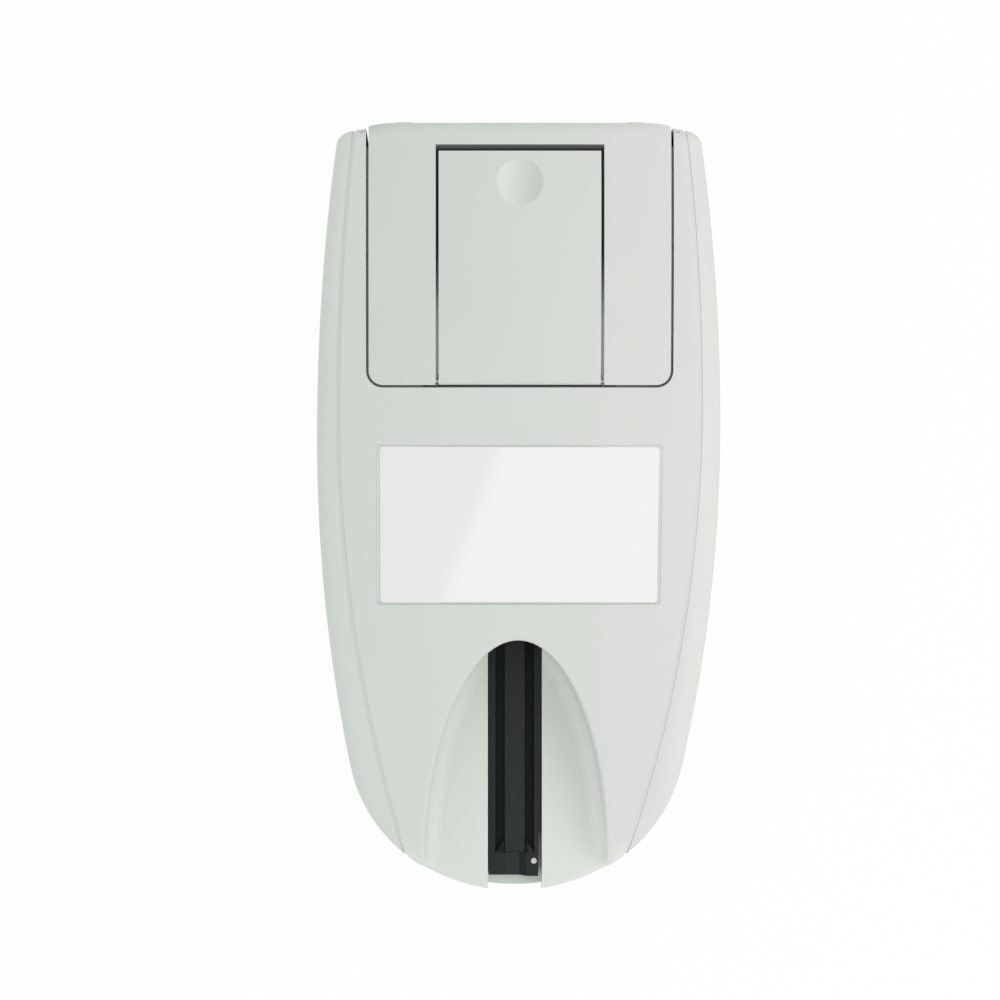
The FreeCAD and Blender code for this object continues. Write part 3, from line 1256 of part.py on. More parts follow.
def make_paper_cradle():
    """Trough for the paper roll, with a shelf behind it for the printer and four screw lugs."""
    half = s.roll_width / 2 + s.cradle_wall / 2
    outer = half + s.cradle_wall
    radius = s.cradle_radius
    axis = Vector(-outer, CRADLE_Y, s.cradle_axis_height)
    along = Vector(1, 0, 0)
    rim = s.cradle_rim_height
    shape = cylinder(radius + s.cradle_wall, 2 * outer, axis, along)
    shape = shape.fuse(brick(
        (-outer, outer), (CRADLE_Y - radius - s.cradle_wall, CRADLE_Y + radius + s.cradle_wall), (axis.z, rim)
    ))
    room = cylinder(radius, 2 * half, Vector(-half, axis.y, axis.z), along)
    room = room.fuse(brick((-half, half), (CRADLE_Y - radius, CRADLE_Y + radius), (axis.z, s.case_height)))
    over = brick((-outer, outer), (FRONT, REAR), (rim, s.case_height + s.wall))
    wide = s.shelf_width / 2
    shelf_rear = REAR - s.shelf_rear_setback
    shelf = brick((-wide, wide), (CRADLE_Y + radius, shelf_rear), (shelf_low(), s.shelf_height))
    lugs = [shelf]
    reach = s.tower_radius + s.run_gap
    for at in tower_places()[2:]:
        span = sorted((math.copysign(half + s.cradle_wall / 2, at.x), math.copysign(wide, at.x)))
        lugs.append(brick(span, (at.y - reach, at.y + reach), (shelf_low(), s.shelf_height)))
    slot_front = CRADLE_Y + radius + s.cradle_wall
    cable = brick((-half, half), (slot_front, slot_front + s.ribbon_slot), (0, s.shelf_height + s.wall))
    holes = [cylinder(s.screw_shank_radius, s.case_height, at) for at in tower_places()]
    return solid("paper_cradle", shape.fuse(lugs).cut([room, over, cable] + holes))


def make_printer_screws():
    """Screws through the shelf and lugs into the base towers."""
    tip = s.shelf_height - s.printer_screw_length
    return screw_group(
        "printer_screws", [at + Vector(0, 0, tip) for at in tower_places()], "printer_screw_length", "z"
    )


def printer_frame_limits():
    """Inner x, outer x, front y, rear y and floor height of the printer frame."""
    inner = s.platen_length / 2 + s.bush_flange + s.running_gap + s.cradle_wall / 2
    outer = inner + s.frame_thickness
    return inner, outer, PLATEN_AT.y - s.frame_front, PLATEN_AT.y + s.frame_rear, s.shelf_height


def printer_gear_places():
    """Centres of the platen gear, idler and motor pinion."""
    motor = PLATEN_AT + Vector(0, -s.printer_motor_back, -s.printer_motor_drop)
    module = s.printer_module
    near = module * (s.printer_pinion_teeth + s.idler_teeth) / 2
    far = module * (s.idler_teeth + s.platen_teeth) / 2
    line = PLATEN_AT - motor
    along = (near**2 - far**2 + line.Length**2) / (2 * line.Length)
    across = math.sqrt(near**2 - along**2)
    unit = Vector(line).normalize()
    side = Vector(0, unit.z, -unit.y)
    return PLATEN_AT, motor + unit * along + side * across, motor


def make_printer_frame():
    """Folded steel frame: floor and two cheeks with holes for the platen, idler and motor."""
    inner, outer, front, rear, low = printer_frame_limits()
    platen, idler, motor = printer_gear_places()
    inside = "platen_length / 2 + bush_flange + running_gap + cradle_wall / 2"
    outside = inside + " + frame_thickness"
    tall = "frame_top_height - shelf_height"
    corners = [
        (f"-({outside})", "0 * wall"), (outside, "0 * wall"), (outside, tall), (inside, tall),
        (inside, "frame_thickness"), (f"-({inside})", "frame_thickness"), (f"-({inside})", tall),
        (f"-({outside})", tall),
    ]
    folded = padded("frame_folded", "XZ_Plane", corners, "frame_front + frame_rear")
    folded.Placement = place(0, rear, low)
    tools = [
        rod("frame_bush_hole", "bush_radius", f"2 * ({outside})", Vector(-outer, platen.y, platen.z), "x"),
        rod("frame_idler_hole", "axle_radius", "frame_thickness", Vector(inner, idler.y, idler.z), "x"),
        rod(
            "frame_motor_hole", "motor_shaft_radius * 2", "frame_thickness",
            Vector(inner, motor.y, motor.z), "x",
        ),
    ]
    return cut("printer_frame", folded, *tools)


def make_platen():
    """Rubber platen, its shaft, bushes, gear, idler and the printer motor's pinion."""
    inner, outer, front, rear, low = printer_frame_limits()
    platen, idler, motor = printer_gear_places()
    along = Vector(1, 0, 0)
    gear_start = outer + s.printer_gear_gap
    start = Vector(-s.platen_length / 2, platen.y, platen.z)
    roller = rod("platen_rubber", "platen_radius", "platen_length", start, "x")
    core = rod("platen_core", "platen_shaft_radius", "platen_length", start, "x")
    cut("platen_roller", roller, core)
    shaft_start = Vector(-outer - s.printer_gear_gap, platen.y, platen.z)
    shaft_length = outer + s.printer_gear_gap + gear_start + s.printer_gear_width + s.printer_gear_gap
    shaft = cylinder(s.platen_shaft_radius, shaft_length, shaft_start, along)
    solid("platen_shaft", shaft)
    bushes = []
    for i, side in enumerate((-1, 1)):
        body_start = Vector(min(side * inner, side * outer), platen.y, platen.z)
        flange_start = Vector(min(side * inner, side * (inner - s.bush_flange)), platen.y, platen.z)
        body = rod(f"bush_body_{i}", "bush_radius", "frame_thickness", body_start, "x")
        flange = rod(f"bush_flange_{i}", "bush_flange_radius", "bush_flange", flange_start, "x")
        low_x = min(body_start.x, flange_start.x)
        bore = rod(
            f"bush_bore_{i}", "platen_shaft_radius + running_gap", "frame_thickness + bush_flange",
            Vector(low_x, platen.y, platen.z), "x",
        )
        bushes.append(cut(f"bush_{i}", fuse(f"bush_whole_{i}", body, flange), bore))
    group("platen_bushes", bushes)
    phase = math.pi / 2
    width, module = s.printer_gear_width, s.printer_module
    wheel = gear(module, s.platen_teeth, platen, phase, width, s.platen_shaft_radius, gear_start)
    solid("platen_gear", wheel)
    phase = meshing_phase(s.platen_teeth, phase, platen, s.idler_teeth, idler)
    wheel = gear(module, s.idler_teeth, idler, phase, width, s.axle_radius + s.running_gap, gear_start)
    solid("idler_gear", wheel)
    phase = meshing_phase(s.idler_teeth, phase, idler, s.printer_pinion_teeth, motor)
    wheel = gear(module, s.printer_pinion_teeth, motor, phase, width, s.motor_shaft_radius, gear_start)
    depth = s.printer_motor_length - s.motor_plate
    spindle_start = Vector(inner - depth, motor.y, motor.z)
    spindle = cylinder(s.motor_shaft_radius, depth + gear_start + width - inner, spindle_start, along)
    solid("printer_pinion", wheel.fuse(spindle))
    axle_start = Vector(inner, idler.y, idler.z)
    axle_length = "frame_thickness + 2 * printer_gear_gap + printer_gear_width"
    rod("idler_axle", "axle_radius", axle_length, axle_start, "x")
    can_start = Vector(inner - s.printer_motor_length, motor.y, motor.z)
    can = rod("printer_motor_can", "motor_radius", "printer_motor_length", can_start, "x")
    bore = rod(
        "printer_motor_bore", "motor_shaft_radius + running_gap", "printer_motor_length - motor_plate / 2",
        can_start + Vector(s.motor_plate / 2, 0, 0), "x",
    )
    cut("printer_motor", can, bore)


def make_print_head():
    """Flat thermal head in front of the platen and the leaf spring that presses it."""
    low = PLATEN_AT.z - s.head_sink
    face = PLATEN_AT.y - s.platen_radius - s.run_gap
    box("print_head", "head_width", "head_thickness", "head_height", 0, face - s.head_thickness / 2, low)
    leaf = s.spring_leaf
    floor = s.shelf_height + s.frame_thickness
    back = face - s.head_thickness
    frame_front = PLATEN_AT.y - s.frame_front + leaf
    touch = low + s.head_height / 2
    foot = frame_front + 4 * s.frame_thickness
    bend = touch - s.head_height / 2
    outline = [
        (foot, floor),
        (frame_front, floor),
        (frame_front, bend),
        (back - leaf, touch),
        (back - leaf, touch + leaf * 2),
        (back, touch + leaf * 2),
        (back, touch - leaf / 2),
        (frame_front + leaf, bend - leaf / 2),
        (frame_front + leaf, floor + leaf),
        (foot, floor + leaf),
    ]
    points = [Vector(-s.spring_width / 2, y, z) for y, z in outline]
    spring = Part.Face(Part.makePolygon(points + points[:1])).extrude(Vector(s.spring_width, 0, 0))
    solid("head_spring", spring)
    box("paper_sensor", "sensor_size", "sensor_size", "sensor_size * 1.5", 0, PLATEN_AT.y, floor)


# Main board and what stands on it

def make_main_board():
    """Board on the base bosses, cut away round the towers and guide posts."""
    front, rear = board_span()
    middle = (front + rear) / 2
    plate = doc.addObject("Part::Box", "main_board_plate")
    bind(plate, Length="main_board_width", Height="board_thickness")
    plate.setExpression("Width", bound(
        "case_length - rear_setback - base_inset - wall - main_board_rear_gap - main_board_front_setback"
    ))
    plate.Placement = place(-s.main_board_width / 2, front, s.main_board_height)
    base = Vector(0, 0, s.main_board_height)
    tools = []
    for i, at in enumerate(tower_places() + guide_post_places()[:2]):
        tools.append(rod(f"board_clear_{i}", "tower_radius + run_gap", "board_thickness", at + base))
    for i, at in enumerate(board_boss_places()):
        tools.append(rod(f"board_hole_{i}", "motor_screw_radius", "board_thickness", at + base))
    cut("main_board", plate, *tools)
    tip = Vector(0, 0, BOARD_TOP - s.board_screw_length)
    small_screws("board_screws", [at + tip for at in board_boss_places()], "board_screw_length")
    quarter = s.main_board_width / 4
    driver_y = front + s.chip_large * 1.5
    capacitor_at = Vector(s.jack_side, middle + s.chip_large, BOARD_TOP)
    chips = [
        box("chip_processor", "chip_large", "chip_large", "chip_height", -quarter * 1.35, middle, BOARD_TOP),
        box("chip_memory", "chip_small", "chip_large", "chip_height", 0, middle, BOARD_TOP),
        box("chip_driver", "chip_small", "chip_small", "chip_height", -quarter, driver_y, BOARD_TOP),
        rod("capacitor", "capacitor_radius", "capacitor_height", capacitor_at),
        box(
            "plug_display", "display_ribbon_width", "plug_depth", "plug_height", -s.display_ribbon_side,
            front + s.plug_depth, BOARD_TOP,
        ),
        box(
            "plug_printer", "printer_ribbon_width", "plug_depth", "plug_height", printer_ribbon_side(),
            printer_ribbon_line() + s.plug_depth / 2, BOARD_TOP,
        ),
        box(
            "plug_optics", "optics_ribbon_width", "plug_depth", "plug_height", optics_ribbon_side(),
            front + s.plug_depth, BOARD_TOP,
        ),
    ]
    group("board_components", chips)
    cell_at = Vector(quarter, front + 2 * s.chip_large, BOARD_TOP)
    holder = rod("holder_disc", "holder_radius", "holder_floor + cell_thickness", cell_at)
    pocket = rod("holder_pocket", "cell_radius", "cell_thickness", cell_at + Vector(0, 0, s.holder_floor))
    cut("coin_cell_holder", holder, pocket)
    rod("coin_cell", "cell_radius", "cell_thickness", cell_at + Vector(0, 0, s.holder_floor))
    buzzer_at = Vector(quarter * 1.5, middle, BOARD_TOP)
    drum = rod("buzzer_drum", "buzzer_radius", "buzzer_height", buzzer_at)
    mouth_at = buzzer_at + Vector(0, 0, s.buzzer_height / 2)
    mouth = rod("buzzer_mouth", "buzzer_hole_radius", "buzzer_height / 2", mouth_at)
    cut("buzzer", drum, mouth)


def printer_ribbon_side():
    """Middle of the printer ribbon across the object."""
    return -(s.spring_width / 2 + s.printer_ribbon_width / 2 + s.run_gap)


def printer_ribbon_line():
    """Y of the printer ribbon's upright run, in the shelf's slot."""
    return CRADLE_Y + s.cradle_radius + s.cradle_wall + s.ribbon_slot / 2


def optics_ribbon_side():
    """Middle of the optics ribbon across the object."""
    return s.optics_width / 2 + s.led_board_side / 2


def ribbon(label, width, side, route):
    """Flat flexible cable of even thickness through a route of y and z pairs."""
    points = [Vector(0, y, z) for y, z in route]
    half = s.ribbon_thickness / 2
    near, far = [], []
    for i, point in enumerate(points):
        before = points[max(i - 1, 0)]
        after = points[min(i + 1, len(points) - 1)]
        unit = (after - before).normalize()
        normal = Vector(0, -unit.z, unit.y) * half
        near.append(point + normal)
        far.append(point - normal)
    loop = near + far[::-1]
    face = Part.Face(Part.makePolygon(loop + loop[:1]))
    strip = face.extrude(Vector(width, 0, 0))
    return solid(label, strip.translated(Vector(side - width / 2, 0, 0)))


def make_ribbons():
    """Ribbon cables from the display, print head and optics down to the main board."""
    front, _ = board_span()
    plug_top = BOARD_TOP + s.plug_height
    frame = screen_place()
    depth = s.wall + s.module_thickness + s.board_thickness + s.plug_height
    start = frame.multVec(Vector(0, s.screen_opening_length / 2 - s.plug_depth, -depth))
    board_end = front + s.plug_depth
    drop = start.z - plug_top
    ribbon("display_ribbon", s.display_ribbon_width, -s.display_ribbon_side, [
        (start.y, start.z - s.ribbon_thickness / 2),
        (start.y + drop * 0.3, start.z - drop * 0.1),
        (board_end - drop * 0.08, plug_top + drop * 0.5),
        (board_end, plug_top + drop * 0.2),
        (board_end, plug_top),
    ])
    line = printer_ribbon_line()
    head_y = PLATEN_AT.y - s.platen_radius - s.run_gap - s.head_thickness - s.ribbon_thickness / 2
    head_low = PLATEN_AT.z - s.head_sink
    ribbon("printer_ribbon", s.printer_ribbon_width, printer_ribbon_side(), [
        (head_y, head_low + s.head_height / 3),
        (head_y, head_low),
        (line + s.ribbon_slot, s.shelf_height + s.head_height),
        (line, s.shelf_height + s.ribbon_slot),
        (line, plug_top),
    ])
    at = optics_place()
    top = at.z + s.optics_height + s.board_thickness + s.plug_height
    rise = top - plug_top
    ribbon("optics_ribbon", s.optics_ribbon_width, optics_ribbon_side(), [
        (at.y, top + s.ribbon_thickness / 2),
        (at.y + s.optics_ribbon_width / 2, top + s.ribbon_thickness / 2),
        (at.y + rise * 0.6, top),
        (board_end - rise * 0.2, plug_top + rise * 0.5),
        (board_end, plug_top + rise * 0.2),
        (board_end, plug_top),
    ])


# Rear connectors and the power switch

def rear_outer():
    """Y of the base shell's flat rear face."""
    return REAR_FACE - s.base_inset


def make_dc_jack():
    """Power inlet: block with a round mouth and a centre pin."""
    face = rear_outer() - s.run_gap
    middle = face - s.jack_depth / 2
    block = box("jack_block", "jack_width", "jack_depth", "jack_height", s.jack_side, middle, BOARD_TOP)
    start = Vector(s.jack_side, face - s.jack_depth * 0.8, port_heights()["jack"])
    mouth = rod("jack_mouth", "jack_mouth_radius", "jack_depth", start, "y")
    pin = rod("jack_pin", "jack_pin_radius", "jack_depth * 0.7", start, "y")
    return fuse("dc_jack", cut("jack_body", block, mouth), pin)


def make_serial_port():
    """Nine-way connector: flange behind the wall, tapered mouth through it, body and two nuts."""
    inner = rear_outer() - s.wall
    height = port_heights()["serial"]
    half = s.serial_width / 2
    plate = brick(
        (s.serial_side - half, s.serial_side + half), (inner - s.serial_plate, inner),
        (height - s.serial_height / 2, height + s.serial_height / 2),
    )
    body_half = s.serial_mouth_width / 2 + s.serial_shell
    body = brick(
        (s.serial_side - body_half, s.serial_side + body_half),
        (inner - s.serial_plate - s.serial_body_depth, inner - s.serial_plate),
        (BOARD_TOP, height + s.serial_mouth_height / 2),
    )
    mouth = serial_profile(0, inner, s.serial_mouth_depth - s.run_gap)
    hollow = serial_profile(-s.serial_shell, inner, s.serial_mouth_depth)
    block = serial_profile(-s.serial_shell * 1.5, inner, s.serial_mouth_depth - s.serial_shell * 2)
    pin_pitch = s.serial_mouth_width / 6
    pin_holes = []
    for count, level in ((5, s.serial_mouth_height / 6), (4, -s.serial_mouth_height / 6)):
        for i in range(count):
            pin_x = s.serial_side + (i - (count - 1) / 2) * pin_pitch
            at = Vector(pin_x, inner + s.serial_shell, height + level)
            pin_holes.append(cylinder(s.serial_shell, s.serial_mouth_depth, at, Vector(0, 1, 0)))
    necks = [cylinder(s.screw_shank_radius, s.wall, at, Vector(0, 1, 0)) for at in nut_places(inner)]
    nuts = [hex_nut(at) for at in nut_places(inner + s.wall)]
    shell = plate.fuse([body, mouth]).cut(hollow).fuse([block.cut(pin_holes)] + necks + nuts)
    return solid("serial_port", shell)


def hex_nut(at):
    """Six-sided post that stands out of the rear wall."""
    turns = [math.tau * i / 6 for i in range(6)]
    corners = [at + Vector(math.cos(turn), 0, math.sin(turn)) * s.serial_nut_radius for turn in turns]
    length = s.serial_nut_length / 2
    return Part.Face(Part.makePolygon(corners + corners[:1])).extrude(Vector(0, length, 0))


def make_keyboard_port():
    """Round connector with a key block in its mouth."""
    face = rear_outer() + s.run_gap
    height = port_heights()["keyboard"]
    start = Vector(s.keyboard_side, face - s.keyboard_depth, height)
    barrel = rod("keyboard_barrel", "keyboard_radius", "keyboard_depth", start, "y")
    mouth_start = Vector(s.keyboard_side, face - s.keyboard_floor, height)
    mouth = rod("keyboard_mouth", "keyboard_radius - keyboard_shell", "keyboard_floor", mouth_start, "y")
    key_y = face - (s.keyboard_floor + s.keyboard_shell) / 2
    key_low = height - s.keyboard_radius / 2
    key_length = "keyboard_floor - keyboard_shell"
    key = box(
        "keyboard_key", "keyboard_radius / 2", key_length, "keyboard_shell * 2", s.keyboard_side, key_y, key_low
    )
    return fuse("keyboard_port", cut("keyboard_body", barrel, mouth), key)


def switch_centre():
    """Point on the rocker's pivot axis."""
    return Vector(s.switch_side, rear_outer() - s.rocker_pivot_depth, port_heights()["switch"])


def make_switch_body():
    """Switch body: bezel on the rear wall, open box behind it and pivot holes for the rocker."""
    centre = switch_centre()
    half, rise = switch_body_half()
    outer = rear_outer()
    bezel = brick(
        (centre.x - s.switch_width / 2, centre.x + s.switch_width / 2), (outer, outer + s.switch_bezel),
        (centre.z - s.switch_height / 2, centre.z + s.switch_height / 2),
    )
    front = [edge for edge in bezel.Edges if edge.CenterOfMass.y > outer + s.switch_bezel - s.running_gap]
    bezel = bezel.makeFillet(s.switch_bezel / 2, front)
    heights = (centre.z - rise, centre.z + rise)
    body = brick((centre.x - half, centre.x + half), (outer - s.switch_depth, outer), heights)
    wall = s.switch_wall * 0.75
    room = brick(
        (centre.x - half + wall, centre.x + half - wall), (outer - s.switch_depth + s.switch_wall, REAR),
        (centre.z - rise + wall, centre.z + rise - wall),
    )
    pivot = cylinder(
        s.rocker_pin_radius + s.running_gap, 2 * half, centre - Vector(half, 0, 0), Vector(1, 0, 0)
    )
    return solid("switch_body", bezel.fuse(body).cut([room, pivot]))


def make_switch_rocker():
    """Two-faced rocker on stub pins, at rest with its lower half pressed in."""
    centre = switch_centre()
    half, rise = switch_body_half()
    wall = s.switch_wall * 0.75
    tilt = math.radians(s.rocker_tilt)
    valley = s.rocker_pivot_depth + s.switch_bezel
    room = rise - wall - s.rocker_gap
    tall = (room - (valley + s.rocker_proud) * math.sin(tilt)) / math.cos(tilt)
    crest = valley + tall * math.tan(tilt)
    back = s.rocker_pin_radius * 2
    outline = [(valley, 0), (crest, tall), (0, tall), (-back, back), (-back, -back), (0, -tall), (crest, -tall)]
    width = 2 * (half - wall - s.rocker_gap)
    points = [Vector(0, y, z) for y, z in outline]
    shape = Part.Face(Part.makePolygon(points + points[:1])).extrude(Vector(width, 0, 0))
    shape = shape.translated(Vector(-width / 2, 0, 0))
    reach = half - wall / 4
    pins = cylinder(s.rocker_pin_radius, 2 * reach, Vector(-reach, 0, 0), Vector(1, 0, 0))
    shape = shape.fuse(pins)
    shape.rotate(Vector(), Vector(1, 0, 0), -s.rocker_tilt)
    return solid("switch_rocker", shape.translated(centre))


make_top_shell()
make_base_shell()
make_feet()
make_case_screws()
make_printer_cover()
make_paper_door()
make_hinge_pins()
make_tear_bar()
make_strip_tray()
make_tray_pin()
make_reference_pad()
make_tray_guide()
make_guide_screws()
make_tray_gears()
make_drive_axle()
make_tray_motor()
make_motor_bracket()
make_motor_screws()
make_tray_sensor()
make_optics()
make_display()
make_paper_cradle()
make_printer_screws()
make_printer_frame()
make_platen()
make_print_head()
make_main_board()
make_ribbons()
make_dc_jack()
make_serial_port()
make_keyboard_port()
make_switch_body()
make_switch_rocker()

NODES = [
    "top_shell", "base_shell", "rubber_feet", "case_screws", "printer_cover", "paper_door",
    "door_hinge_pins", "tear_bar", "screen_window", "screen_gasket", "display_module",
    "display_board", "display_screws", "strip_tray", "tray_pin", "reference_pad", "tray_guide",
    "guide_screws", "drive_gear", "motor_pinion", "drive_gear_axle", "tray_motor",
    "motor_bracket", "motor_screws", "tray_sensor", "optics_housing", "optics_window",
    "optics_lens", "led_board", "optics_screws", "paper_cradle", "printer_screws",
    "printer_frame", "platen_roller", "platen_shaft", "platen_bushes", "platen_gear",
    "idler_gear", "idler_axle", "printer_pinion", "printer_motor", "print_head", "head_spring",
    "paper_sensor", "main_board", "board_components", "board_screws", "coin_cell",
    "coin_cell_holder", "buzzer", "display_ribbon", "printer_ribbon", "optics_ribbon", "dc_jack",
    "serial_port", "keyboard_port", "switch_body", "switch_rocker",
]

doc.recompute()
failed = [item.Label for item in doc.Objects if {"Invalid", "Error"} & set(item.State)]
parts = {item.Label: item for item in doc.Objects if item.Label in NODES}
missing = [label for label in NODES if label not in parts]
bad = [label for label, item in parts.items() if item.Shape.isNull() or not item.Shape.isValid()]
if failed or missing or bad:
    raise SystemExit(f"failed {failed}, missing {missing}, not valid {bad}")
os.makedirs("parts", exist_ok=True)
for label in NODES:
    parts[label].Shape.exportStep(f"parts/{label}.step")
    print(label, len(parts[label].Shape.Solids), round(parts[label].Shape.Volume, 1))
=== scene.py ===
import logging
import math
from dataclasses import dataclass, field
from enum import Enum
from typing import Any, Callable, Iterable, List, Mapping, Optional, Sequence, Tuple, Union

import bmesh
import bpy
from mathutils import Matrix, Vector


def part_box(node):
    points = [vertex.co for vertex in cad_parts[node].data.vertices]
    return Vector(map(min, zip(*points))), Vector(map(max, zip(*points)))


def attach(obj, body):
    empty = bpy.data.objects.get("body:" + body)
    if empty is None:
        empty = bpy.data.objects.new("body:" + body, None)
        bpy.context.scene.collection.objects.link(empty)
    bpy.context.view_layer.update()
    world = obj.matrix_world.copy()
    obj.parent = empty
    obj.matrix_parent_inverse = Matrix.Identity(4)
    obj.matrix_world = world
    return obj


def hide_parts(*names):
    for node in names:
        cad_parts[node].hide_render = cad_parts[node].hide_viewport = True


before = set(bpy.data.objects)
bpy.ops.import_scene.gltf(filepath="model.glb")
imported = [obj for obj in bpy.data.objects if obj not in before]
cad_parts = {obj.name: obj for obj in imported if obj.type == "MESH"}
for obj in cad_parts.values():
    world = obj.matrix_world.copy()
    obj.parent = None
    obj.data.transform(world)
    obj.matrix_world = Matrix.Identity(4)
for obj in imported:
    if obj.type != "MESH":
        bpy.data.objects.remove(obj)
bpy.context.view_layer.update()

LOG = logging.getLogger("strip_reader")
Place = Tuple[float, float, float]
Pair = Tuple[float, float]
Pairs = Tuple[Pair, ...]
Value = Union["Wire", float, Sequence[float]]
Inputs = Optional[Mapping[str, Value]]


class Side(Enum):
    """Ways that a row of legs can leave a chip."""

    LONG_SIDES = 2
    ALL_SIDES = 4


class Grain(Enum):
    """Direction in which a metal was brushed or rolled: how fast its streaks change along each axis."""

    ACROSS = (0.02, 1.0, 1.0)
    NONE = (1.0, 1.0, 1.0)


@dataclass(frozen=True)
class Deck:
    """Crowned top of the housing, in metres, and the way that the display in it faces."""

    top: float = 0.095
    high_at: float = 0.112
    radius: float = 0.62
    crown: float = 2.4
    tilt: Place = (0.0, -0.1935, 0.9811)

    def level(self, across: float, along: float) -> float:
        """Height of the deck at a place that is given by its ways to the right and to the rear."""
        fall = self.radius - math.sqrt(self.radius ** 2 - (along - self.high_at) ** 2)
        return self.top - fall - across * across / (2 * self.crown)


DECK = Deck()


def paint(code: str) -> Tuple[float, float, float, float]:
    """Linear colour with an alpha of 1, from the hexadecimal code of the colour that a screen shows."""
    parts = [int(code[i:i + 2], 16) / 255 for i in (1, 3, 5)]
    return (*(part / 12.92 if part <= 0.04045 else ((part + 0.055) / 1.055) ** 2.4 for part in parts), 1.0)


def operator(operation: str, swapped: bool = False) -> Callable[..., "Wire"]:
    """Makes a method that adds a Math node.

    Args:
        operation: What the node does.
        swapped: Whether the wire is the second of the two numbers.

    Returns:
        The method.
    """
    def method(wire: "Wire", other: Value = 0.0) -> "Wire":
        """Result of the operation on this value and another."""
        return wire.shader.math(operation, *((other, wire) if swapped else (wire, other)))

    return method


class Wire:
    """A value on its way through a shader, with the operators that add Math nodes."""

    __add__ = operator("ADD")
    __radd__ = operator("ADD", True)
    __sub__ = operator("SUBTRACT")
    __rsub__ = operator("SUBTRACT", True)
    __mul__ = operator("MULTIPLY")
    __truediv__ = operator("DIVIDE")
    __abs__ = operator("ABSOLUTE")
    modulo = operator("FLOORED_MODULO")
    smaller = operator("MINIMUM")
    larger = operator("MAXIMUM")

    def __init__(self, shader: "Graph", socket: bpy.types.NodeSocket) -> None:
        """Keeps the graph and the output socket that the value comes out of."""
        self.shader = shader
        self.socket = socket

    def rise(self, low: float, high: float) -> "Wire":
        """Mask that eases from 0 to 1 while the value goes from one number to another."""
        inputs = {"Value": self, "From Min": low, "From Max": high}
        return self.shader.wire("ShaderNodeMapRange", "Result", inputs, {"interpolation_type": "SMOOTHSTEP"})

    def after(self, limit: float, edge: float) -> "Wire":
        """Mask that is 1 above a limit and eases in over the edge before it."""
        return self.rise(limit - edge, limit)

    def before(self, limit: float, edge: float) -> "Wire":
        """Mask that is 1 below a limit and eases out over the edge behind it."""
        return 1 - self.rise(limit, limit + edge)

    def within(self, low: float, high: float, edge: float) -> "Wire":
        """Mask that is 1 between two numbers and eases to 0 outside them over the edge."""
        return self.after(low, edge) * self.before(high, edge)

    def stripes(self, pitch: float) -> "Wire":
        """Distance from the middle of a repeated stripe, from 0 to 0.5 of the pitch."""
        return abs(self.modulo(pitch) / pitch - 0.5)


